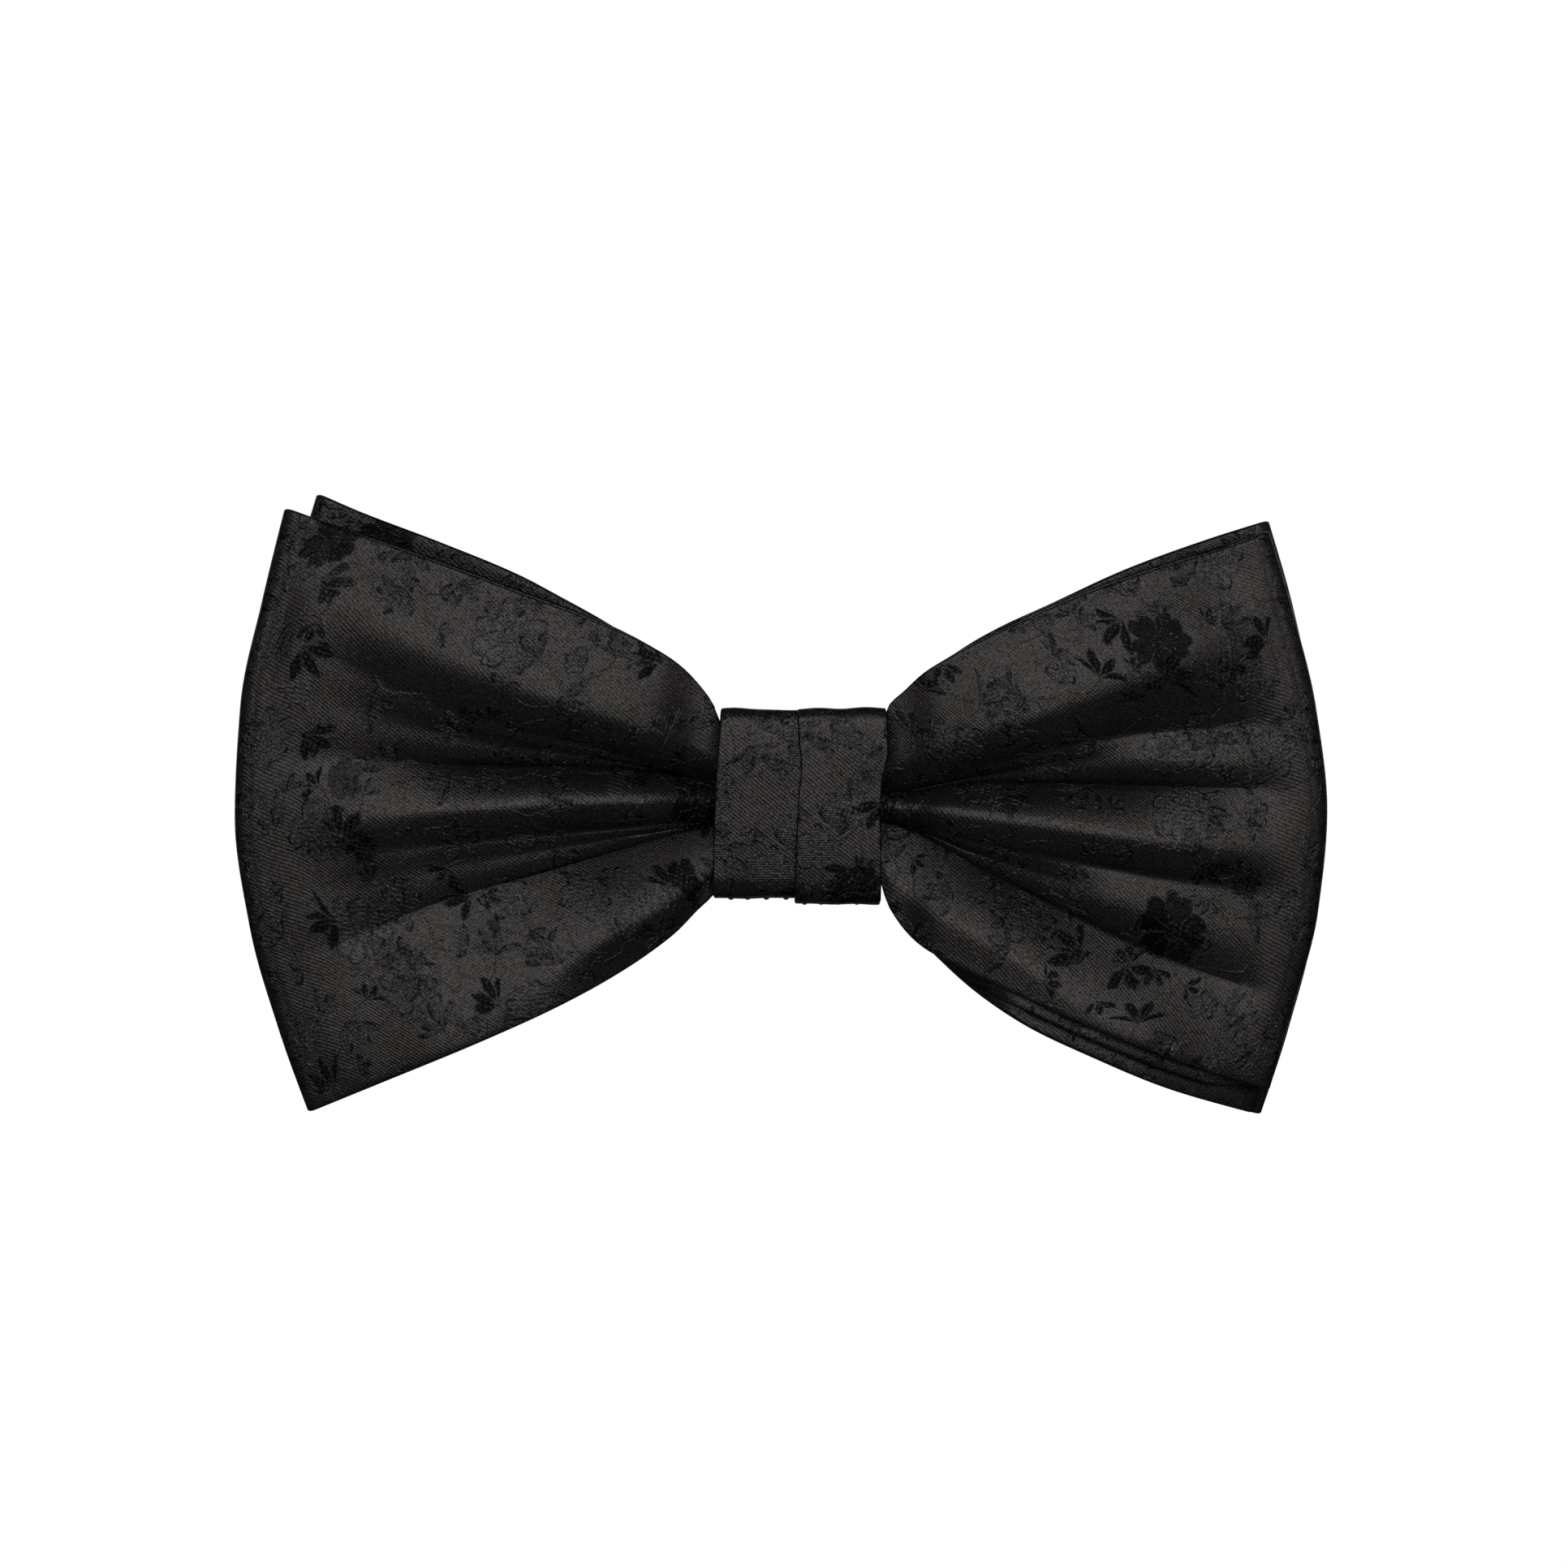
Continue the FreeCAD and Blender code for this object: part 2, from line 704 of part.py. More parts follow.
def adjuster():
    """The slide on the right strap, with the strap's end sewn round its middle bar."""
    angle, radius = cell("adjuster_angle"), cell("wire_radius")
    lift, half = cell("frame_lift"), cell("frame_half_z")
    long = cell("frame_half_length")
    loop, bore = cell("frame_loop_outer"), cell("frame_loop_bore")
    bar_r = f"({BACK} - {LAYER} + {THICK} / 2 - {loop})"
    drop = f"({bar_r} - {BACK})"
    parts = wire_loop("slide", f"-{long}", long, half, lift)
    parts.append(rod("slide_middle_bar", radius, f"2 * {half}", ("0", drop, "0")))
    for j, z in enumerate((f"-{half}", half)):
        middle = f"({lift} + {drop}) / 2"
        parts.append(
            rod(f"slide_post_{j}", cell("post_radius"), f"{lift} - {drop}", ("0", middle, z), "Y")
        )
        parts.append(ball(f"slide_post_end_{j}", radius, ("0", drop, z)))
    frame = fuse("adjuster_frame", parts)
    place(frame, on_back(angle), f"-{angle}")

    tail = cell("return_tail_angle")
    rise = f"({BACK} - {LAYER} - {THICK} / 2 - {cell('hem_rise')} - {cell('hem_thick')} / 2)"
    first = f"{angle} - {cell('hem_angle')}"
    lengths = [
        back_strip("end_layer", f"{angle} - {tail}", angle, f"({BACK} - {LAYER})"),
        rod("end_loop", loop, WIDTH, on_back(angle, bar_r)),
        back_strip(
            "end_hem", first, f"{angle} - {cell('hem_start_angle')}", rise, cell("hem_thick")
        ),
    ]
    end = cut(
        "adjuster_strap_end",
        fuse("adjuster_end_lengths", lengths),
        rod("end_bore", bore, f"{WIDTH} + 2", on_back(angle, bar_r)),
    )

    thick = cell("tack_thick")
    depth = f"({rise} - {cell('hem_thick')} / 2 - {cell('lining_play')} - {thick} / 2)"
    span = f"({cell('tack_length')} / {BACK} * 180 / pi)"
    tack = back_strip(
        "adjuster_bartack",
        f"{first} + 1",
        f"{first} + 1 + {span}",
        depth,
        thick,
        cell("tack_height"),
    )
    return frame, end, tack


def eye():
    """The wire loop at the right strap's end, standing on the chord of the back arc."""
    near, far = cell("eye_angle"), cell("eye_far_angle")
    length = f"(2 * {LOOP_R} * sin(({near} - {far}) / 2))"
    loop = fuse("eye_loop", wire_loop("eye", f"-{length}", "0", cell("eye_half_z"), "0"))
    return place(loop, on_back(near, LOOP_R), f"-({near} + {far}) / 2")


def hook():
    """The plate hook: a bar in the strap's fold, a tapered plate and a tongue through the eye."""
    middle, angle = cell("hook_mid_angle"), cell("hook_angle")
    low, thick = cell("hook_plate_low"), cell("hook_plate_thick")
    heel, heel_end = cell("hook_heel"), cell("hook_heel_end")
    neck, tip = cell("hook_neck"), cell("hook_tip")
    half, tongue = cell("hook_half_z"), cell("hook_tongue_half_z")
    radius, rail = cell("wire_radius"), cell("hook_rail")
    bar = (
        f"({LOOP_R} * sin({angle} - {middle}))",
        f"({LOOP_R} * cos({angle} - {middle}) - {BACK})",
        "0",
    )
    top = f"({low} + {thick})"
    steps = [
        [(heel, half)],
        [(heel_end, half)],
        [(neck, tongue)],
        [(tip, tongue)],
        [(tip, f"-{tongue}")],
        [(neck, f"-{tongue}")],
        [(heel_end, f"-{half}")],
        [(heel, f"-{half}")],
    ]
    plate = prism(
        "hook_plate",
        outline("hook_plate_outline", "XZ", steps),
        (0, 1, 0),
        thick,
        ("0", low, "0"),
    )
    parts = [plate, rod("hook_bar", radius, f"2 * {half} - {rail}", bar)]
    parts.append(
        block(
            "hook_tongue",
            (f"{tip} - {thick}", f"-{cell('hook_tongue_depth')}", f"-{tongue}"),
            (tip, top, tongue),
        )
    )
    for j, (a, b) in enumerate(((f"-{half}", f"-{half} + {rail}"), (f"{half} - {rail}", half))):
        side = [
            [(f"{bar[0]} - {radius}", f"{bar[1]} - {radius}")],
            [(f"{bar[0]} + {radius}", f"{bar[1]} - {radius}")],
            [(heel_end, low)],
            [(heel_end, top)],
            [(heel, top)],
            [(f"{bar[0]} - {radius}", f"{bar[1]} + {radius}")],
        ]
        parts.append(
            prism(
                f"hook_rail_{j}",
                outline(f"hook_rail_outline_{j}", "XY", side),
                (0, 0, 1),
                f"({b}) - ({a})",
                ("0", "0", a),
            )
        )
    solid = fuse("hook", parts)
    return place(solid, on_back(middle), f"-{middle}")


# ---------------------------------------------------------------- all pieces

pieces = [
    *tier("front"),
    *tier("back"),
    *knot(),
    binding(),
    *straps(),
    *strap_threads(),
    *adjuster(),
    eye(),
    hook(),
]
doc.recompute()

for obj in doc.Objects:
    if "Invalid" in obj.State or "Error" in obj.State:
        raise RuntimeError(f"{obj.Name} did not build: {obj.State}")
    shape = getattr(obj, "Shape", None)
    if shape is not None and (shape.isNull() or not shape.isValid()):
        raise RuntimeError(f"{obj.Name} has no valid shape")

for piece in pieces:
    piece.Label = piece.Name
    shape = piece.Shape
    if not shape.Solids:
        raise RuntimeError(f"{piece.Name} holds no solid")
    shape.exportStep(f"parts/{piece.Label}.step")
    box = shape.BoundBox
    print(
        f"{piece.Label}: {len(shape.Solids)} solid(s), {shape.Volume:.1f} mm3,"
        f" x {box.XMin:.1f}..{box.XMax:.1f} y {box.YMin:.1f}..{box.YMax:.1f}"
        f" z {box.ZMin:.1f}..{box.ZMax:.1f}"
    )
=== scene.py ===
import math
import bmesh
import bpy
import numpy as np
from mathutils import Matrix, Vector


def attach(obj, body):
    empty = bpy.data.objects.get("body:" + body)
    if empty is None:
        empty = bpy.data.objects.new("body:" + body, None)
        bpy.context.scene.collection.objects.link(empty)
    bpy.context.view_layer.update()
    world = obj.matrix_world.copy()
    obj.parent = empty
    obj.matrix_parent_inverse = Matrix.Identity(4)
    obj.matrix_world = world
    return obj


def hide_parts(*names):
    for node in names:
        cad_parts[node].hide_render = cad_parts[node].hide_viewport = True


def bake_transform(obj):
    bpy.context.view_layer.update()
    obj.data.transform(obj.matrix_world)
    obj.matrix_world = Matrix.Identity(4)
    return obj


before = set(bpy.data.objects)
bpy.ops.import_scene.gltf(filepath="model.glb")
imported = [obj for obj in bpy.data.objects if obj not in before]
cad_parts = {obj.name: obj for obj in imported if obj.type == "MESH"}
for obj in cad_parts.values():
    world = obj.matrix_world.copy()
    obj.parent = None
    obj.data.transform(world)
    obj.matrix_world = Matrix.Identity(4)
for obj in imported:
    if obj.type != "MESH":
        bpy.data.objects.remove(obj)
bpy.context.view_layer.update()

# Lengths in this script are in millimetres until a mesh is made.
MM = 0.001
ROOT = "bow_and_strap"

# ------------------------------------------------------------------ small helpers


def table(pairs):
    """A smooth curve through (place, value) pairs that never overshoots them."""
    xs = np.array([p[0] for p in pairs], float)
    ys = np.array([p[1] for p in pairs], float)
    step = np.diff(xs)
    slope = np.diff(ys) / step
    tangent = np.empty_like(ys)
    tangent[0], tangent[-1] = slope[0], slope[-1]
    same = slope[:-1] * slope[1:] > 0
    w1, w2 = 2 * step[1:] + step[:-1], step[1:] + 2 * step[:-1]
    safe0 = np.where(same, slope[:-1], 1.0)
    safe1 = np.where(same, slope[1:], 1.0)
    tangent[1:-1] = np.where(same, (w1 + w2) / (w1 / safe0 + w2 / safe1), 0.0)

    def curve(x):
        x = np.asarray(x, float)
        i = np.clip(np.searchsorted(xs, x) - 1, 0, len(xs) - 2)
        q = (x - xs[i]) / step[i]
        t = np.clip(q, 0, 1)
        y = (2 * t**3 - 3 * t**2 + 1) * ys[i] + (3 * t**2 - 2 * t**3) * ys[i + 1]
        y = y + step[i] * ((t**3 - 2 * t**2 + t) * tangent[i] + (t**3 - t**2) * tangent[i + 1])
        return y + (q - t) * step[i] * np.where(q > 1, tangent[-1], tangent[0])

    return curve


def spaced(places, values):
    """table() from places and values kept apart."""
    return table(list(zip(places, values)))


def ramp(x, low, high):
    """0 below low, 1 above high, smooth between."""
    q = np.clip((x - low) / (high - low), 0, 1)
    return q * q * (3 - 2 * q)


def wobble(x, y, seed, size):
    """Slow smooth unevenness from a few fixed waves, between about -1 and 1."""
    rng = np.random.default_rng(seed)
    total = 0.0
    for _ in range(6):
        angle, phase = rng.uniform(0, math.tau, 2)
        rate = math.tau / size * rng.uniform(0.6, 1.5)
        total = total + np.sin((x * math.cos(angle) + y * math.sin(angle)) * rate + phase)
    return total / 3.0


def link(obj):
    """Puts an object in the scene."""
    bpy.context.scene.collection.objects.link(obj)
    return obj


def make_object(name, verts, faces, uvs=None):
    """A smooth mesh object from millimetre points, with one UV pair for each face corner."""
    mesh = bpy.data.meshes.new(name)
    mesh.from_pydata((np.asarray(verts) * MM).tolist(), [], [tuple(f) for f in faces])
    if uvs is not None:
        layer = mesh.uv_layers.new(name="cloth")
        layer.data.foreach_set("uv", np.asarray(uvs, np.float32).ravel())
    mesh.polygons.foreach_set("use_smooth", [True] * len(mesh.polygons))
    return link(bpy.data.objects.new(name, mesh))


class Sheet:
    """A strip's middle surface as rows along it and columns across it."""

    def __init__(self, points, closed, outward, creases=(), creased_rows=None):
        """outward is (row, column, direction): which way the normals point at one place."""
        self.points = points
        self.closed = closed
        self.outward = outward
        self.creases = creases
        self.creased_rows = creased_rows
        self.measure()

    def measure(self):
        """Works out the normals and the cloth's own lengths along and across the strip."""
        p = self.points
        if self.closed:
            along = np.roll(p, -1, 0) - np.roll(p, 1, 0)
        else:
            along = np.gradient(p, axis=0)
        across = np.gradient(p, axis=1)
        normal = np.cross(along, across)
        normal /= np.linalg.norm(normal, axis=2, keepdims=True) + 1e-12
        row, column = self.outward[:2]
        if normal[row, column] @ np.asarray(self.outward[2], float) < 0:
            normal = -normal
        self.normals = normal
        side = np.linalg.norm(np.diff(p, axis=1), axis=2)
        self.across = np.concatenate([np.zeros((len(p), 1)), np.cumsum(side, axis=1)], axis=1)
        middle = p.shape[1] // 2
        steps = np.linalg.norm(np.diff(p[:, middle], axis=0), axis=1)
        self.along = np.concatenate([[0], np.cumsum(steps)])
        self.loop_length = self.along[-1] + np.linalg.norm(p[0, middle] - p[-1, middle])
        self.centre = self.across[:, middle]

    def at(self, column):
        """Points, normals and cloth lengths at fractional columns, one set for each row."""
        low = np.clip(np.floor(column).astype(int), 0, self.points.shape[1] - 2)
        part = (column - low)[..., None]
        rows = np.arange(len(column))[:, None]

        def mix(grid):
            return grid[rows, low] * (1 - part) + grid[rows, low + 1] * part

        normal = mix(self.normals)
        normal /= np.linalg.norm(normal, axis=2, keepdims=True)
        return mix(self.points), normal, mix(self.across[..., None])[..., 0]


EDGE_STEPS = (0.0, 0.08, 0.3, 0.62, 1.0)


def crease_lanes(sheet, lanes):
    """The lanes of a skin that run exactly along the sheet's creases."""
    last = sheet.points.shape[1] - 1
    return [round(column / last * (lanes - 1)) for column in sheet.creases]


def sharpen(obj, sheet, lanes, which, first, last):
    """Marks the edges along some creases as sharp, on rows whose |x| lies between two values."""
    # The number of points round one row of the skin.
    count = 2 * (lanes + 2 * len(EDGE_STEPS) - 2) - 2
    chosen = crease_lanes(sheet, lanes)
    keys = set()
    middle = np.abs(sheet.points[:, sheet.points.shape[1] // 2, 0])
    for row in range(len(sheet.points) - 1):
        if first < middle[row] < last and sheet.creased_rows[row]:
            for k in which:
                lane = len(EDGE_STEPS) - 1 + chosen[k]
                keys.add((row * count + lane, (row + 1) * count + lane))
    mesh = obj.data
    pairs = np.empty(len(mesh.edges) * 2, int)
    mesh.edges.foreach_get("vertices", pairs)
    sharp = [(min(a, b), max(a, b)) in keys for a, b in pairs.reshape(-1, 2).tolist()]
    mesh.attributes.new("sharp_edge", "BOOLEAN", "EDGE").data.foreach_set("value", sharp)


def skin(sheet, thick, lanes, margin=0.0, inward=False):
    """One closed skin round a sheet: both faces and the rounded long edges."""
    half = thick / 2
    cols = sheet.points.shape[1]
    rim = [margin + half * 0.5 * e for e in EDGE_STEPS]
    lift = [half * math.sqrt(max(1 - (1 - e) ** 2, 0)) for e in EDGE_STEPS]
    column = np.empty((len(sheet.points), lanes + 2 * len(rim) - 2))
    index = np.arange(cols)
    for r, length in enumerate(sheet.across):
        low = np.interp(rim, length, index)
        high = np.interp(length[-1] - np.array(rim[::-1]), length, index)
        inner = np.interp(
            np.arange(lanes),
            [0, *crease_lanes(sheet, lanes), lanes - 1],
            [low[-1], *sheet.creases, high[0]],
        )
        column[r] = np.concatenate([low[:-1], inner, high[1:]])
    height = np.concatenate([lift[:-1], np.full(lanes, half), lift[::-1][1:]])
    mid, normal, v = sheet.at(column)
    v = v - sheet.centre[:, None]
    offset = normal * height[None, :, None]
    ring = np.concatenate([mid + offset, (mid - offset)[:, -2:0:-1]], axis=1)
    v_ring = np.concatenate([v, v[:, -2:0:-1]], axis=1)
    rows, count = ring.shape[:2]
    turns = rows if sheet.closed else rows - 1
    ii, jj = np.meshgrid(np.arange(turns), np.arange(count), indexing="ij")
    i2, j2 = (ii + 1) % rows, (jj + 1) % count
    quads = np.stack([a * count + b for a, b in ((ii, jj), (ii, j2), (i2, j2), (i2, jj))], -1)
    u = sheet.along
    u_next = np.append(u[1:], sheet.loop_length)
    corners = []
    for a, b in ((ii, jj), (ii, j2), (i2, j2), (i2, jj)):
        along = u[a] if a is ii else u_next[ii]
        corners.append(np.stack([along, v_ring[a, b]], -1))
    uv = np.stack(corners, 2)
    quads, uv = quads.reshape(-1, 4), uv.reshape(-1, 4, 2)
    verts = ring.reshape(-1, 3)
    a, b, c, d = (verts[quads[:, k]] for k in range(4))
    volume = np.einsum("ij,ij->", a, np.cross(b, c) + np.cross(c, d))
    if (volume < 0) != inward:
        quads, uv = quads[:, ::-1], uv[:, ::-1]
    return verts, quads, uv.reshape(-1, 2)


def caps(rows, count):
    """Faces that close the two ends of an open skin, as fans of quads."""
    faces = []
    half = count // 2
    for base, flip in ((0, False), ((rows - 1) * count, True)):
        for j in range(half):
            a, b = j, (count - j) % count
            c, d = count - j - 1, j + 1
            quad = [base + a, base + b, base + c, base + d]
            quad = list(dict.fromkeys(quad))
            if len(quad) > 2:
                faces.append(quad if flip else quad[::-1])
    return faces


class Shells:
    """Collects skins into one mesh."""

    def __init__(self):
        self.verts, self.faces, self.uvs = [], [], []
        self.count = 0

    def add(self, part, closing=()):
        verts, faces, uvs = part
        self.faces += [[i + self.count for i in f] for f in np.asarray(faces).tolist()]
        self.uvs += np.asarray(uvs).tolist()
        for face in closing:
            self.faces.append([i + self.count for i in face])
            self.uvs += [[verts[i][0], verts[i][2]] for i in face]
        self.verts.append(verts)
        self.count += len(verts)

    def build(self, name):
        return make_object(name, np.concatenate(self.verts), self.faces, self.uvs)


def strip_object(name, sheet, thick, lanes, hollow=None, inset=0.0, margin=0.0):
    """A cloth strip; hollow is the thickness of the pocket that holds its interlining."""
    part = skin(sheet, thick, lanes, margin)
    rows = len(sheet.points)
    shells = Shells()
    shells.add(part, () if sheet.closed else caps(rows, len(part[0]) // rows))
    if hollow:
        shells.add(skin(sheet, hollow, max(lanes // 3, 8), inset, inward=True))
    return shells.build(name)


# ------------------------------------------------------------------ the bow's outlines

WAIST = 9.2
LEFT, RIGHT = -1, 1
FORWARD, BACKWARD = (0, -1, 0), (0, 1, 0)

# Half-outlines as (distance from the knot's middle, height) along each edge of a wing.
TOP = {
    ("front", LEFT): table(
        [(0, 7.9), (8.6, 8.2), (9.6, 10.9), (10.9, 12.8), (13.1, 15.1), (15.3, 16.7), (19.8, 19.2),
         (24.4, 21.2), (30.1, 23.3), (41.4, 27.5), (53.4, 31.5), (56.6, 32.6)]
    ),
    ("front", RIGHT): table(
        [(0, 7.9), (8.6, 8.2), (9.6, 10.8), (11.4, 12.5), (13.6, 14.5), (15.9, 16), (18.1, 17.3),
         (22.6, 19.7), (30.6, 23.3), (37.6, 25.8), (47, 28.7), (51.2, 30.1)]
    ),
    ("back", LEFT): table(
        [(0, 7.9), (8.6, 8.2), (9.6, 10.2), (13.1, 14.2), (17.6, 17.6), (22, 20.4), (26.5, 22.9),
         (31, 25.3), (39.9, 29), (48.8, 32.4), (53.4, 34.4)]
    ),
    ("back", RIGHT): table(
        [(0, 7.9), (8.6, 8.2), (9.6, 10.2), (13.6, 14.1), (18.1, 17.4), (22.6, 19.9), (27, 21.9),
         (35.9, 26), (44.9, 29.3), (51.5, 31.4)]
    ),
}
LOW = {
    ("front", LEFT): table(
        [(0, -7.9), (8.6, -8.2), (9.8, -10.2), (10.9, -11.2), (13.1, -13.4), (15.3, -15.3),
         (19.8, -18.4), (26.5, -22.1), (33.2, -25.2), (46.6, -30.8), (54.1, -33.9)]
    ),
    ("front", RIGHT): table(
        [(0, -7.9), (8.6, -8.2), (9.4, -10.7), (10.1, -12), (11.4, -13.8), (13.6, -15.8),
         (17, -17.7), (22.7, -20.4), (31.5, -24.4), (40, -27.8), (51.1, -31.4)]
    ),
    ("back", LEFT): table(
        [(0, -7.9), (8.6, -8.2), (9.8, -9.8), (13.1, -12.7), (19.8, -17.5), (33.2, -24.1),
         (46.6, -29.5), (53.6, -32)]
    ),
    ("back", RIGHT): table(
        [(0, -7.9), (8.6, -8.2), (9.6, -10.6), (13.6, -15.5), (15.9, -17.7), (20.3, -21.4),
         (24.8, -24.4), (31.5, -27.6), (40.4, -31.3), (50.5, -34.3)]
    ),
}
# How far out the fold lies, at shares of the way from its lower to its upper corner.
FOLD_SHARES = (0, 0.16, 0.33, 0.5, 0.67, 0.84, 1)
FOLD = {
    ("front", LEFT): spaced(FOLD_SHARES, (53.7, 57.1, 60.2, 61.8, 61.2, 58.8, 56.3)),
    ("front", RIGHT): spaced(FOLD_SHARES, (51, 53.7, 56.4, 57.4, 56.2, 53.7, 51)),
    ("back", LEFT): spaced(FOLD_SHARES, (53, 55.5, 58, 59.1, 58.4, 55.9, 53.1)),
    ("back", RIGHT): spaced(FOLD_SHARES, (50.4, 53.6, 56.3, 57.2, 56.3, 54.1, 51.3)),
}

# Depth of each layer's middle surface, from the knot outwards as a share of the wing.
DEPTH = {
    ("front", "face"): table(
        [(0, -10.9), (0.05, -11.5), (0.15, -13.8), (0.4, -16.2), (0.65, -15.7), (0.85, -13.4), (1, -11.0)]
    ),
    ("front", "rear"): table([(0, -7.4), (0.2, -6.9), (0.5, -6.3), (0.8, -6.8), (1, -7.8)]),
    ("back", "face"): table([(0, -6.1), (0.2, -5.6), (0.5, -4.8), (0.8, -4.3), (1, -4.2)]),
    ("back", "rear"): table([(0, -3.8), (0.2, -2.7), (0.5, -1.5), (0.8, -1.2), (1, -1.0)]),
}
FOLD_Y = {"front": -9.4, "back": -2.6}
FOLD_RADIUS = 1.6
FOLD_BULGE = 1.15

# Pleat lines, as (distance from the knot's middle, height): the two folds above the middle
# ridge, the ridge and the two folds below it.
PLEATS = {
    LEFT: {
        "u1": table([(0, 2.2), (9.4, 3.3), (24.4, 6.8), (35.9, 9.6), (43.9, 12.6), (54.6, 17.5), (62, 20.5)]),
        "u2": table([(0, 1.6), (9.4, 2.6), (22, 4.1), (35, 4.3), (50, 5.0), (62, 5.5)]),
        "m": table([(0, 0.2), (9.6, 0.5), (25, 0.3), (35, -0.3), (50, -1.2), (62, -1.5)]),
        "l1": table([(0, -1.0), (9.6, -1.6), (22, -2.6), (31, -3.4), (40, -4.2), (49, -5.2), (62, -7)]),
        "l2": table([(0, -1.5), (9.6, -2.3), (22, -5.6), (30, -8), (38, -10.2), (50, -14.6), (62, -18)]),
    },
    RIGHT: {
        "u1": table([(0, 1.4), (9.9, 2.1), (20.9, 4.6), (30.2, 6.8), (37.2, 8.0), (46.6, 8.6), (58, 10.5)]),
        "u2": table([(0, 0.9), (9.9, 1.4), (20.9, 2.4), (34.9, 2.2), (44.2, 1.9), (58, 1.5)]),
        "m": table([(0, 0), (9.3, -0.2), (20.9, -1.4), (35, -3.3), (45, -4.6), (58, -5.5)]),
        "l1": table([(0, -0.6), (9.3, -1.2), (18.6, -3.9), (30.2, -6.2), (39.5, -7.8), (49, -9), (58, -10)]),
        "l2": table(
            [(0, -1), (9.3, -1.8), (20.9, -7.6), (30.2, -12.2), (39.5, -16.5), (46.6, -19.2), (58, -22.5)]
        ),
    },
}
# How deep the pleats are, by the distance from the knot's middle.
PLEAT_PLACES = (0, 9.5, 15, 24, 35, 45, 51, 56, 62)
PLEAT_DEPTH = {
    "upper": spaced(PLEAT_PLACES, (1.4, 2.5, 3.9, 4.8, 4.5, 3.0, 1.5, 0.6, 0.3)),
    "lower": spaced(PLEAT_PLACES, (1.4, 2.5, 3.9, 4.7, 4.3, 2.9, 1.5, 0.6, 0.3)),
    "ridge": table([(0, 0.8), (9.5, 1.0), (15, 1.1), (24, 1.1), (40, 0.9), (55, 0.4), (62, 0.1)]),
}
# How the cloth runs between two pleat lines: S-shaped, steep after the crease, or leaning.
SOFT, CREASE_AFTER, LEANING = range(3)

# Heights between the creases of each pleat, as shares of its depth: at the outer crease, and
# on the small ridge between the two creases.
UPPER_SHAPE = {
    LEFT: (table([(0, 0.6), (22, 0.6), (34, 0.46), (62, 0.4)]), table([(0, 0.8), (62, 0.74)])),
    RIGHT: (
        table([(0, 0.56), (27, 0.56), (36, 0.74), (46, 0.88), (58, 0.88)]),
        table([(0, 0.8), (27, 0.8), (36, 0.7), (46, 0.6), (58, 0.6)]),
    ),
}
LOWER_SHAPE = {
    LEFT: (table([(0, 0.7), (62, 0.66)]), table([(0, 0.84), (62, 0.82)])),
    RIGHT: (
        table([(0, 0.6), (26, 0.62), (36, 0.8), (58, 0.8)]),
        table([(0, 0.82), (26, 0.8), (36, 0.72), (58, 0.7)]),
    ),
}
# Where the highest crest lies between the last pleat line and the upper edge.
CREST_SHARE = {
    LEFT: table([(0, 0.25), (25, 0.27), (35, 0.33), (45, 0.36), (62, 0.36)]),
    RIGHT: table([(0, 0.25), (25, 0.27), (35, 0.36), (45, 0.46), (58, 0.48)]),
}
# How far the lower edge rolls back beside the knot.
HEM = {LEFT: 1.4, RIGHT: 0.3}
# Where the lowest crest lies between the lower edge and the first pleat line.
LOW_CREST = table([(0, 0.36), (20, 0.36), (34, 0.12), (62, 0.08)])


def pleat_relief(side, x, z, low, top):
    """How far the cloth stands out at each point, 0 on its crests and less in its pleats."""
    lines = {key: curve(x) for key, curve in PLEATS[side].items()}
    up, down = PLEAT_DEPTH["upper"](x), PLEAT_DEPTH["lower"](x)
    ridge = PLEAT_DEPTH["ridge"](x)
    edge = 2.0 * ramp(x, WAIST, 24.0) * (1 - 0.5 * ramp(x, 40.0, 58.0))
    hem = HEM[side] * hump(x, 9.0, 14.0, 20.0, 30.0)
    u1, u2, m, l1, l2 = (lines[k] for k in ("u1", "u2", "m", "l1", "l2"))
    outer_up, between_up = (shape(x) for shape in UPPER_SHAPE[side])
    outer_low, between_low = (shape(x) for shape in LOWER_SHAPE[side])
    stops = [
        (low, -hem, SOFT),
        (low + (l2 - low) * LOW_CREST(x), 0 * x, LEANING),
        (l2, -down, CREASE_AFTER),
        (l2 + (l1 - l2) * 0.5, -down * between_low, SOFT),
        (l1, -down * outer_low, CREASE_AFTER),
        (m, -ridge, LEANING),
        (u2, -up, CREASE_AFTER),
        (u2 + (u1 - u2) * 0.45, -up * between_up, SOFT),
        (u1, -up * outer_up, CREASE_AFTER),
        (u1 + (top - u1) * CREST_SHARE[side](x), 0 * x, SOFT),
        (top, -edge, SOFT),
    ]
    height = 0 * z - edge
    for (z0, h0, kind), (z1, h1, _) in zip(stops, stops[1:]):
        q = (z - z0) / np.maximum(z1 - z0, 1e-6)
        inside = (q >= 0) & (q <= 1)
        q = np.clip(q, 0, 1)
        if kind == CREASE_AFTER:
            share = np.sin(q * math.pi / 2)
        elif kind == LEANING:
            share = 0.5 * q + 0.5 * (1 - np.cos(q * math.pi / 2))
        else:
            share = q * q * (3 - 2 * q)
        height = np.where(inside, h0 + (h1 - h0) * share, height)
    return height


COLUMNS = 181
# From one layer to the next where they lie together at the right wing's lower edge.
LAYER_GAP = 1.38
# The columns that follow the front face's pleat lines, from its lower edge to its upper.
CREASES = {"l2": 47, "l1": 70, "m": 84, "u2": 101, "u1": 120}


def hump(x, start, full, fall, end):
    """0, rising to 1 between start and full, and back to 0 between fall and end."""
    return ramp(x, start, full) * (1 - ramp(x, fall, end))


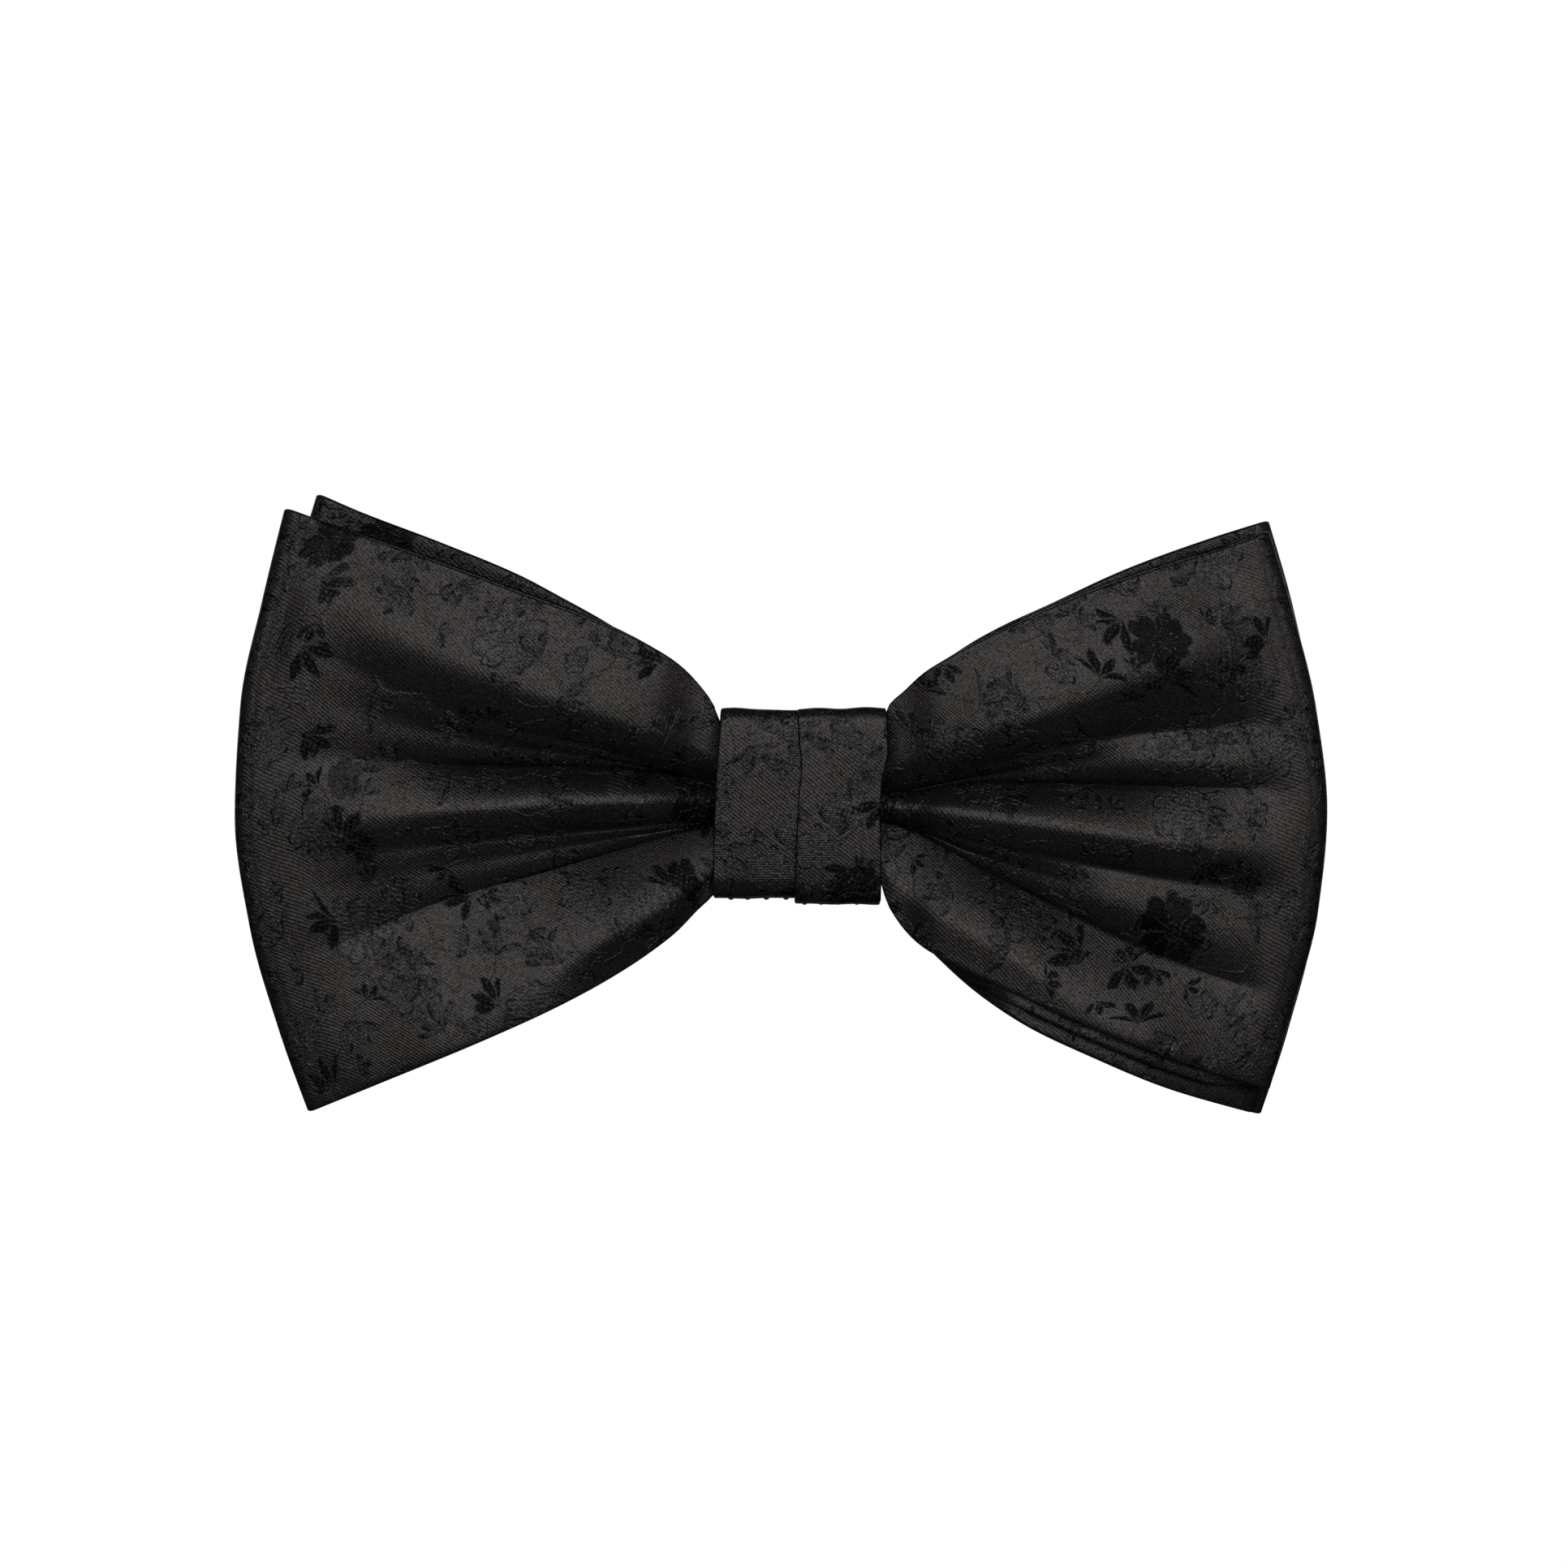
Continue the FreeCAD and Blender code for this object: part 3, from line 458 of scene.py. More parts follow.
def outline(tier, side, layer, x):
    """Top and bottom edges of one layer; a loop's two layers never lie exactly edge to edge."""
    top, low = TOP[tier, side](x), LOW[tier, side](x)
    if tier == "front" and layer == "face":
        top = top - 0.35 * hump(x, 14, 24, 46, 56)
    if tier == "front" and layer == "rear" and side == RIGHT:
        low = low - 1.45 * hump(x, 13, 24, 44, 51)
    if tier == "back" and layer == "rear":
        top = top - 0.6 * hump(x, 14, 26, 42, 52)
        low = low + 0.5 * hump(x, 14, 26, 42, 52)
    return top, low


def tier_layer(tier, layer, side, shares):
    """Middle-surface points of one layer of one wing at shares of the way to the fold."""
    q = np.linspace(0, 1, COLUMNS)[None, :]
    reach = FOLD[tier, side](q) - FOLD_BULGE
    x = np.asarray(shares)[:, None] * reach
    top, low = outline(tier, side, layer, x)
    z = low + (top - low) * q
    wing = np.clip((x - WAIST) / (reach - WAIST), 0, 1)
    y = DEPTH[tier, layer](wing)
    fade = 1 - ramp(wing, 0.88, 1.0)
    if (tier, layer) == ("front", "face"):
        stops = np.array([0, *CREASES.values(), COLUMNS - 1])
        heights = [low, *(PLEATS[side][key](x) for key in CREASES), top]
        column = np.arange(COLUMNS)
        pleated = z
        for (c0, h0), (c1, h1) in zip(zip(stops, heights), zip(stops[1:], heights[1:])):
            part = (column - c0) / (c1 - c0)
            pleated = np.where((part >= 0) & (part <= 1), h0 + (h1 - h0) * part, pleated)
        z = z + (pleated - z) * fade
    if side == RIGHT and (tier, layer) in (("front", "rear"), ("back", "face")):
        gap = LAYER_GAP if tier == "front" else 2 * LAYER_GAP
        near = DEPTH["front", "face"](wing) + HEM[side] * hump(x, 9.0, 14.0, 20.0, 30.0) + gap
        near = near + 0.09 * (z - low)
        y = y + (near - y) * (1 - ramp(z - low, 2.0, 13.0)) * hump(x, 14, 24, 48, 56)
    if (tier, layer) in (("front", "face"), ("back", "rear")):
        outward = -1 if layer == "face" else 1
        rise = 0.06 if side == LEFT else 0.03
        y = y + outward * rise * np.exp(-(((reach - x - 0.7) / 0.5) ** 2))
    if (tier, layer) == ("back", "face"):
        y = y - 0.12 * np.maximum(z - top + 2.4, 0) * hump(x, 12, 20, 46, 54)
    if (tier, layer) == ("front", "face"):
        y = y - fade * pleat_relief(side, x, z, low, top)
        y = y + fade * 0.12 * wobble(x, z, 5 + side, 16.0) * ramp(wing, 0.05, 0.3)
    elif (tier, layer) == ("back", "rear"):
        y = y + 0.55 * fade * pleat_relief(-side, x, z, low, top)
        y = y + fade * 0.2 * wobble(x, z, 15 + side, 18.0) * ramp(wing, 0.05, 0.3)
    else:
        y = y + fade * 0.12 * wobble(x, z, 25 + side, 20.0) * ramp(wing, 0.1, 0.4)
    return np.stack([side * x, y, z], -1)


def fold_rows(tier, side, angles):
    """The outer fold of a wing, from its face to its rear layer."""
    q = np.linspace(0, 1, COLUMNS)[None, :]
    a = np.asarray(angles)[:, None]
    x = FOLD[tier, side](q) - FOLD_BULGE + FOLD_BULGE * np.cos(a) ** 0.75
    top, low = TOP[tier, side](x), LOW[tier, side](x)
    y = FOLD_Y[tier] + FOLD_RADIUS * np.sin(a) + 0 * q
    return np.stack([side * x, y, low + (top - low) * q], -1)


def tier_sheet(tier, face_steps, rear_steps):
    """The whole loop of one tier: rear centre, left fold, face, right fold, rear centre."""

    def spread(count):
        """Shares from the knot to the fold, closer together at both ends."""
        q = np.linspace(0, 1, count)
        return q - 0.09 * np.sin(2 * math.pi * q)

    face, rear = spread(face_steps), spread(rear_steps)
    bend = np.linspace(-math.pi / 2, math.pi / 2, 11)[1:-1]
    rows = [
        tier_layer(tier, "rear", LEFT, rear[1:]),
        fold_rows(tier, LEFT, bend[::-1]),
        tier_layer(tier, "face", LEFT, face[::-1]),
        tier_layer(tier, "face", RIGHT, face[1:]),
        fold_rows(tier, RIGHT, bend),
        tier_layer(tier, "rear", RIGHT, rear[::-1]),
    ]
    points = np.concatenate(rows)
    middle_row = rear_steps - 1 + len(bend) + face_steps
    creases = tuple(CREASES.values()) if tier == "front" else ()
    on_face = np.abs(np.arange(len(points)) - middle_row) < face_steps
    return Sheet(points, True, (middle_row, COLUMNS // 2, FORWARD), creases, on_face)


# Thickness of the cloth tube, of the pocket inside it and of the canvas, and how far the
# canvas stops short of the tube's edges.
STRIP = 1.2
POCKET = 0.62
LINING = 0.5
LINING_INSET = 1.5
# The two pressed creases, by their place in CREASES, and how far out they stay sharp.
SHARP_CREASES = (0, 3)
SHARP_REACH = (9.5, 50.0)


def tier(name, face_steps, rear_steps, lanes):
    """One looped tier: its cloth, and the canvas that lies inside it."""
    sheet = tier_sheet(name, face_steps, rear_steps)
    bow = strip_object(f"bow_{name}_cloth", sheet, STRIP, lanes, POCKET, LINING_INSET - 0.1)
    if sheet.creases:
        sharpen(bow, sheet, lanes, SHARP_CREASES, *SHARP_REACH)
    canvas = strip_object(f"bow_{name}_canvas", sheet, LINING, lanes // 3, margin=LINING_INSET)
    return bow, canvas


front_bow, front_canvas = tier("front", face_steps=96, rear_steps=50, lanes=96)
back_bow, back_canvas = tier("back", face_steps=60, rear_steps=70, lanes=70)

# ------------------------------------------------------------------ knot wrap

KNOT_TOP, KNOT_LOW = 9.95, -9.6
KNOT_FRONT, KNOT_REAR = -13.0, -0.55
KNOT_FRONT_CORNER, KNOT_REAR_CORNER = 1.2, 2.3
SEAM_Y, SEAM_LAP = -5.2, 1.6
WRAP_THICK, LAP_THICK, PAD_THICK = 1.0, 0.8, 0.35
KNOT_BULGE = 0.45
KNOT_ROWS = 190

knot_left = table([(-11, -9.75), (-4, -9.65), (2, -9.4), (8, -9.0), (11, -8.75)])
knot_right = table([(-11, 8.75), (-6, 8.85), (-1, 8.7), (2, 8.9), (6, 9.6), (9, 9.5), (11, 9.2)])
lap_edge = table([(-11, -0.75), (-7, -0.6), (-2, -0.45), (1, -0.3), (4, 0.0), (7, -0.25), (11, -0.45)])


def knot_path(count, lift):
    """A rounded rectangle round the waist, from the seam below, up the back and down the front.

    Gives the points (y, z), the outward directions and the share of the way along. lift is
    how far outside the wrap's middle surface the path runs.
    """
    y0, y1 = KNOT_FRONT - lift, KNOT_REAR + 0.35 * lift
    z0, z1 = KNOT_LOW - 0.95 * lift, KNOT_TOP + 0.3 * lift
    dense = [(SEAM_Y, z0)]
    for k, r in enumerate((KNOT_REAR_CORNER,) * 2 + (KNOT_FRONT_CORNER,) * 2):
        cy = y1 - r if k < 2 else y0 + r
        cz = z1 - r if k in (1, 2) else z0 + r
        for a in np.radians(np.linspace(90 * k - 90, 90 * k, 12)):
            dense.append((cy + r * math.cos(a), cz + r * math.sin(a)))
    dense.append((SEAM_Y + SEAM_LAP, z0))
    dense = np.array(dense)
    length = np.concatenate([[0], np.cumsum(np.linalg.norm(np.diff(dense, axis=0), axis=1))])
    place = np.linspace(0, length[-1], count)
    path = np.stack([np.interp(place, length, dense[:, k]) for k in (0, 1)], -1)
    for _ in range(3):
        path[1:-1] = (path[:-2] + 2 * path[1:-1] + path[2:]) / 4
    along = np.gradient(path, axis=0)
    along /= np.linalg.norm(along, axis=1, keepdims=True)
    return path, np.stack([along[:, 1], -along[:, 0]], -1), place / length[-1]


def knot_sheet(count, columns, lift, left, right):
    """One length of the wrap; its end laps over its start along the seam underneath."""
    path, out, share = knot_path(count, lift)
    q = np.linspace(0, 1, columns)[None, :]
    z = path[:, 1:2]
    x = left(z) + (right(z) - left(z)) * q
    front = ramp(-path[:, 0:1], 8.0, 12.6)
    rise = 0.35 * ramp(share, 0.9, 0.985)[:, None]
    rise = rise + KNOT_BULGE * front * (1 - (z / 11.0) ** 2) * (1 - 0.35 * (x / 9.5) ** 2)
    upper = ramp(np.abs(z), 9.0, 10.2)
    rise = rise + 0.16 * upper * wobble(x, z, 31, 7.0) + 0.08 * front * wobble(x, z, 33, 9.0)
    y = path[:, 0:1] + out[:, 0:1] * rise
    return np.stack([x, y, z + out[:, 1:2] * rise], -1)


def knot_shell(name, columns, lift, left, right, thick, rows=KNOT_ROWS, lanes=None):
    """One strip of the knot as an object."""
    points = knot_sheet(rows, columns, lift, left, right)
    front_row = int(np.argmin(points[:, 0, 1]))
    sheet = Sheet(points, False, (front_row, columns // 2, FORWARD))
    return strip_object(name, sheet, thick, lanes or columns - 1)


def shifted(edge, amount):
    """An edge moved along X by an amount."""
    return lambda z: edge(z) + amount


# The lap lies this far outside the wrap, and reaches this far past it on the right.
LAP_LIFT, LAP_OVERHANG = 0.72, 0.5

wrap = knot_shell("knot_wrap_cloth", 61, 0.0, knot_left, shifted(knot_right, -LAP_OVERHANG), WRAP_THICK)
lap = knot_shell("knot_wrap_lap", 41, LAP_LIFT, lap_edge, knot_right, LAP_THICK)


def thread_tube(points, radius, sides=8):
    """A round thread with domed ends through the given millimetre points."""
    points = np.asarray(points, float)
    along = np.gradient(points, axis=0)
    along /= np.linalg.norm(along, axis=1, keepdims=True)
    helper = np.array([0.31, 0.2, 0.93])
    one = np.cross(along, helper)
    one /= np.linalg.norm(one, axis=1, keepdims=True)
    two = np.cross(along, one)
    rings, centres = [], []
    for shift, scale in ((-0.9, 0.35), (-0.6, 0.8)):
        centres.append((points[0] + along[0] * shift * radius, one[0], two[0], scale))
    centres += [(p, a, b, 1.0) for p, a, b in zip(points, one, two)]
    for shift, scale in ((0.6, 0.8), (0.9, 0.35)):
        centres.append((points[-1] + along[-1] * shift * radius, one[-1], two[-1], scale))
    turn = np.linspace(0, math.tau, sides, endpoint=False)
    for middle, a, b, scale in centres:
        ring = middle + radius * scale * (np.cos(turn)[:, None] * a + np.sin(turn)[:, None] * b)
        rings.append(ring)
    verts = np.concatenate(rings)
    faces = []
    for i in range(len(rings) - 1):
        for j in range(sides):
            k = (j + 1) % sides
            faces.append((i * sides + j, i * sides + k, (i + 1) * sides + k, (i + 1) * sides + j))
    faces.append(tuple(range(sides))[::-1])
    faces.append(tuple((len(rings) - 1) * sides + j for j in range(sides)))
    return verts, faces


def threads(name, paths, radius):
    """Several threads as one piece."""
    verts, faces, count = [], [], 0
    for path in paths:
        v, f = thread_tube(path, radius)
        verts.append(v)
        faces += [tuple(i + count for i in face) for face in f]
        count += len(v)
    obj = make_object(name, np.concatenate(verts), faces)
    mesh = bmesh.new()
    mesh.from_mesh(obj.data)
    bmesh.ops.recalc_face_normals(mesh, faces=mesh.faces)
    mesh.to_mesh(obj.data)
    mesh.free()
    return obj


def slip_stitches():
    """Slanted hand stitches over the wrap's folded end, under the knot."""
    paths = []
    for k in range(9):
        x = -8.0 + 2.0 * k + 0.15 * math.sin(5.0 * k)
        edge = SEAM_Y + SEAM_LAP
        low = KNOT_LOW - WRAP_THICK / 2 - 0.35 - (0.55 if x > -0.9 else 0.0)
        paths.append(
            [
                (x, edge - 1.1, low + 0.35),
                (x + 0.08, edge - 0.9, low + 0.02),
                (x + 0.24, edge - 0.4, low - 0.06),
                (x + 0.42, edge + 0.15, low - 0.02),
                (x + 0.56, edge + 0.5, low + 0.25),
                (x + 0.62, edge + 0.7, low + 0.7),
            ]
        )
    return threads("knot_slip_stitches", paths, 0.12)


stitches = slip_stitches()

# The stiffener inside the knot, in the middle of the wrap's cloth.
pad_left, pad_right = shifted(knot_left, 1.3), shifted(knot_right, -1.6)
knot_pad = knot_shell("knot_canvas", 31, 0.0, pad_left, pad_right, PAD_THICK, 120, 20)

# ------------------------------------------------------------------ neck strap

STRAP_HALF = 9.0
STRAP_THICK = 0.95
STRAP_STEP = 0.6
STRAP_Y = -2.0
CORNER_RADIUS, SIDE_RADIUS = 35.0, 110.0
CORNER_TURN, SIDE_TURN = 65.0, 105.0


def next_arc(arc, turn, radius):
    """The arc, as centre and radius, that carries on smoothly from another after a turn."""
    (x, y), before = arc
    a = math.radians(turn)
    return (x + (before - radius) * math.sin(a), y - (before - radius) * math.cos(a)), radius


# The right half of the strap's path: round the collar's corner, along its side and over to
# the middle of the back, as arcs that meet smoothly.
CORNER = ((12.0, STRAP_Y + CORNER_RADIUS), CORNER_RADIUS)
SIDE_ARC = next_arc(CORNER, CORNER_TURN, SIDE_RADIUS)
BACK_RADIUS = SIDE_RADIUS + SIDE_ARC[0][0] / math.sin(math.radians(SIDE_TURN))
BACK_ARC = next_arc(SIDE_ARC, SIDE_TURN, BACK_RADIUS)
# The bars of the hook and the eye lie between the strap and its turned-back layer.
BAR_LINE = BACK_RADIUS - 0.65
INNER_LINE = BACK_RADIUS - 1.3
BAR_LOOP, SLIDE_LOOP = 1.25, 1.05
HOOK_ANGLE, FOLD_END = -34.0, -46.0
EYE_ANGLE, EYE_TAIL = -14.0, -8.5
SLIDE_ANGLE = 26.0
SLIDE_BAR_LINE = INNER_LINE - SLIDE_LOOP
SWING_ANGLE, SWING_SPREAD = -58.0, 6.5
TAIL_LINE = 49.8


def polar(radius, angle):
    """A point on the back arc, at an angle from the middle of the back towards +X."""
    a = math.radians(angle)
    return np.array([radius * math.sin(a), BACK_ARC[0][1] + radius * math.cos(a)])


def turn_points(arc, first, last, side):
    """Points on one of the strap's arcs, by how far the strap has turned."""
    (cx, cy), radius = arc
    count = max(int(abs(last - first) * radius / 40), 4)
    a = np.radians(np.linspace(first, last, count))
    return np.stack([side * (cx + radius * np.sin(a)), cy - radius * np.cos(a)], -1)


def bar_loop(bar, radius, first, last):
    """Points round a bar, between two angles counted from +X."""
    a = np.radians(np.linspace(first, last, 40))
    return np.stack([bar[0] + radius * np.cos(a), bar[1] + radius * np.sin(a)], -1)


def even(points, step, rounds):
    """The same path with even spacing, its corners eased."""
    points = np.asarray(points, float)
    length = np.concatenate([[0], np.cumsum(np.linalg.norm(np.diff(points, axis=0), axis=1))])
    keep = np.append(np.diff(length) > 1e-6, True)
    points, length = points[keep], length[keep]
    place = np.linspace(0, length[-1], int(length[-1] / step) + 1)
    path = np.stack([np.interp(place, length, points[:, k]) for k in (0, 1)], -1)
    for _ in range(rounds):
        path[1:-1] = (path[:-2] + 2 * path[1:-1] + path[2:]) / 4
    return path


def back_points(radius, first, last):
    """Points on the back arc, half a degree apart."""
    angles = np.linspace(first, last, max(int(abs(last - first) / 0.5), 3))
    return np.array([polar(radius, a) for a in angles])


def strap_front(side):
    """The strap from the knot to the back arc, for one side."""
    return [
        np.array([[side * 0.5, STRAP_Y], [side * 6.0, STRAP_Y]]),
        turn_points(CORNER, 0.0, CORNER_TURN, side),
        turn_points(SIDE_ARC, CORNER_TURN, SIDE_TURN, side),
    ]


def strap_rows(path, seed):
    """A strap's middle surface over a path seen from above, a little uneven like sewn cloth."""
    columns = 21
    q = np.linspace(-1, 1, columns)[None, :]
    place = np.arange(len(path))[:, None] * STRAP_STEP
    half = STRAP_HALF - 0.12 + 0.1 * wobble(place, 0 * place, seed, 46.0)
    z = half * q + 0.07 * wobble(place, 0 * place, seed + 1, 70.0)
    along = np.gradient(path, axis=0)
    along /= np.linalg.norm(along, axis=1, keepdims=True)
    out = np.stack([along[:, 1], -along[:, 0]], -1)
    lift = 0.07 * wobble(place, 9.0 * q, seed + 2, 24.0)
    xy = path[:, None, :] + out[:, None, :] * lift[..., None]
    return np.concatenate([xy, (z + 0 * q)[..., None]], -1)


def strap_piece(name, parts, seed, outward, rounds, thick=STRAP_THICK):
    """A strap along joined stretches of path; more rounds ease its corners more."""
    points = strap_rows(even(np.concatenate(parts), STRAP_STEP, rounds), seed)
    return strip_object(name, Sheet(points, False, (2, 10, outward)), thick, 16)


hook_bar = polar(BAR_LINE, HOOK_ANGLE)
left_parts = strap_front(-1) + [
    back_points(BACK_RADIUS, -75.0, HOOK_ANGLE - 2.6),
    bar_loop(hook_bar, BAR_LOOP, 145.0, -30.0),
    back_points(INNER_LINE, HOOK_ANGLE - 2.4, FOLD_END),
]
left_strap = strap_piece("strap_left_cloth", left_parts, 41, FORWARD, 3)

eye_bar = polar(BAR_LINE, EYE_ANGLE)
right_parts = strap_front(1) + [
    back_points(BACK_RADIUS, 75.0, EYE_ANGLE + 2.6),
    bar_loop(eye_bar, BAR_LOOP, 60.0, 250.0),
    back_points(INNER_LINE, EYE_ANGLE + 2.4, EYE_TAIL),
]
right_strap = strap_piece("strap_right_cloth", right_parts, 51, FORWARD, 3)

slide_bar = polar(SLIDE_BAR_LINE, SLIDE_ANGLE)
return_parts = [
    back_points(INNER_LINE, EYE_TAIL + 0.2, SLIDE_ANGLE - 1.0),
    bar_loop(slide_bar, SLIDE_LOOP, 64.0, -116.0),
    back_points(TAIL_LINE, SLIDE_ANGLE - 2.4, SLIDE_ANGLE - 8.0),
]
return_strap = strap_piece("strap_return_cloth", return_parts, 61, BACKWARD, 2, 0.88)


def bartack(name, radius_out, radius_in, angle, half):
    """A dense zigzag of stitches through the strap, seen on both of its faces."""
    paths = []
    wide = math.degrees(0.75 / radius_out)
    for radius in (radius_out, radius_in):
        zig = []
        for k in range(49):
            z = -half + 2 * half * k / 48
            side = wide if k % 2 else -wide
            bow = 0.06 if radius == radius_out else -0.06
            x, y = polar(radius + bow, angle + side)
            zig.append((x, y, z))
        paths.append(zig)
    return threads(name, paths, 0.13)


left_tack = bartack("strap_left_tack", BACK_RADIUS + 0.52, INNER_LINE - 0.52, -43.0, 6.4)
slide_tack = bartack("slide_tack", INNER_LINE + 0.46, TAIL_LINE - 0.46, SLIDE_ANGLE - 6.6, 6.4)

# ------------------------------------------------------------------ materials


class Socket:
    """A shader value with ordinary arithmetic."""

    def __init__(self, nodes, source):
        self.nodes = nodes
        self.source = source

    def __add__(self, other):
        return self.nodes.math("ADD", self, other)

    def __sub__(self, other):
        return self.nodes.math("SUBTRACT", self, other)

    def __rsub__(self, other):
        return self.nodes.math("SUBTRACT", other, self)

    def __mul__(self, other):
        return self.nodes.math("MULTIPLY", self, other)

    def __truediv__(self, other):
        return self.nodes.math("DIVIDE", self, other)

    __radd__ = __add__
    __rmul__ = __mul__


class Nodes:
    """Writes one material's node tree."""

    def __init__(self, name):
        self.material = bpy.data.materials.new(name)
        self.material.use_nodes = True
        self.tree = self.material.node_tree
        self.tree.nodes.clear()
        self.shader = self.tree.nodes.new("ShaderNodeBsdfPrincipled")
        output = self.tree.nodes.new("ShaderNodeOutputMaterial")
        self.tree.links.new(self.shader.outputs[0], output.inputs[0])

    def node(self, kind, inputs=None, **settings):
        node = self.tree.nodes.new(kind)
        for key, value in settings.items():
            setattr(node, key, value)
        for key, value in (inputs or {}).items():
            self.join(value, node.inputs[key])
        return node

    def join(self, value, socket):
        if isinstance(value, Socket):
            self.tree.links.new(value.source, socket)
        else:
            socket.default_value = value

    def math(self, operation, *values):
        node = self.tree.nodes.new("ShaderNodeMath")
        node.operation = operation
        for value, socket in zip(values, node.inputs):
            self.join(value, socket)
        return Socket(self, node.outputs[0])

    def sin(self, value):
        return self.math("SINE", value)

    def abs(self, value):
        return self.math("ABSOLUTE", value)

    def step(self, value, low, high):
        """0 below low and 1 above high, or the other way round when low is the larger."""
        node = self.node(
            "ShaderNodeMapRange",
            {"Value": value, "From Min": low, "From Max": high},
            interpolation_type="SMOOTHSTEP",
        )
        return Socket(self, node.outputs["Result"])

    def mix(self, share, low, high):
        """low where share is 0, high where it is 1."""
        return low + (high - low) * share if isinstance(low, Socket) else share * (high - low) + low

    def split(self, source):
        node = self.tree.nodes.new("ShaderNodeSeparateXYZ")
        self.tree.links.new(source, node.inputs[0])
        return [Socket(self, out) for out in node.outputs]

    def vector(self, x, y, z=0.0):
        node = self.tree.nodes.new("ShaderNodeCombineXYZ")
        for value, socket in zip((x, y, z), node.inputs):
            self.join(value, socket)
        return Socket(self, node.outputs[0])

    def noise(self, place, scale, detail=2.0, roughness=0.5):
        node = self.node(
            "ShaderNodeTexNoise",
            {"Vector": place, "Scale": scale, "Detail": detail, "Roughness": roughness},
        )
        return Socket(self, node.outputs[0])

    def random(self, x, y):
        """A random number between 0 and 1 for each pair of whole numbers or cell."""
        node = self.node(
            "ShaderNodeTexWhiteNoise", {"Vector": self.vector(x, y)}, noise_dimensions="2D"
        )
        return Socket(self, node.outputs["Value"])

    def object_place(self):
        """The object's own coordinates in metres: all together, and X, Y and Z."""
        source = self.node("ShaderNodeTexCoord").outputs["Object"]
        return Socket(self, source), self.split(source)

    def cells(self, place, size, randomness):
        """Nearest cell: place within it, three random numbers of its own, and its centre."""
        node = self.node(
            "ShaderNodeTexVoronoi",
            {"Vector": place, "Scale": 1.0 / size, "Randomness": randomness},
            voronoi_dimensions="2D",
        )
        x, y, _ = self.split(place.source)
        cx, cy, _ = self.split(node.outputs["Position"])
        return x - cx, y - cy, self.split(node.outputs["Color"]), (cx, cy)

    def colour(self, share, dark, light):
        node = self.node("ShaderNodeMix", {}, data_type="RGBA")
        self.join(share, node.inputs[0])
        for value, place in ((dark, 6), (light, 7)):
            if isinstance(value, Socket):
                self.join(value, node.inputs[place])
            else:
                node.inputs[place].default_value = (*value, 1.0)
        return Socket(self, node.outputs[2])

    def finish(self, colour, roughness, height, depth, constants=None):
        """Joins colour, roughness and relief to the shader; depth is in millimetres."""
        self.join(colour, self.shader.inputs["Base Color"])
        self.join(roughness, self.shader.inputs["Roughness"])
        bump = self.node("ShaderNodeBump", {"Height": height, "Distance": depth * MM, "Strength": 1.0})
        self.join(Socket(self, bump.outputs[0]), self.shader.inputs["Normal"])
        for key, value in (constants or {}).items():
            self.shader.inputs[key].default_value = value
        return self.material


def grey(value, tint=(1.0, 1.0, 1.0)):
    """A linear colour of one brightness, tinted."""
    return tuple(value * t for t in tint)


WARM = (1.0, 0.935, 0.892)
COOL = (0.99, 0.942, 0.925)

# The cloth's filament threads reflect nearly like metal, and hardly brighten at grazing angles.
JACQUARD_SHINE = {
    "Metallic": 0.85,
    "Specular IOR Level": 0.12,
    "Specular Tint": (0.15, 0.15, 0.15, 1.0),
    "Anisotropic": 0.25,
}
STRAP_SHINE = {**JACQUARD_SHINE, "Specular Tint": (0.5, 0.5, 0.5, 1.0)}


def cloth_place(nodes):
    """The cloth's own coordinates in millimetres: along the strip, and across it."""
    uv = nodes.node("ShaderNodeUVMap", uv_map="cloth")
    place = Socket(nodes, uv.outputs[0])
    u, v, _ = nodes.split(uv.outputs[0])
    return place, u, v


TWILL = (0.62, 0.78)
TWILL_PITCH, WARP_PITCH = 0.35, 0.22


def satin_threads(nodes, place, u, v, twill=TWILL):
    """Fine slanting twill lines that drift a little, and the warp threads under them."""
    drift = nodes.noise(place, 0.35, 2.0) * 1.6
    lines = nodes.sin((u * twill[0] + v * twill[1]) * (math.tau / TWILL_PITCH) + drift)
    warp = nodes.sin(v * (math.tau / WARP_PITCH) + nodes.sin(u * 2.1) * 0.7)
    return lines, warp


def in_dark_cluster(nodes, centre, shift, clusters):
    """1 for a motif whose middle lies in one of the scattered dark-woven clusters."""
    x, y = (c - s for c, s in zip(centre, shift))
    return nodes.step(nodes.noise(nodes.vector(x, y), 0.075, 0.0), clusters, clusters + 0.005)


def moved_by(nodes, place, shift):
    """The shift, and the same place moved by it, so that no two scatters line up."""
    return shift, nodes.vector(*(c + s for c, s in zip(nodes.split(place.source)[:2], shift)))


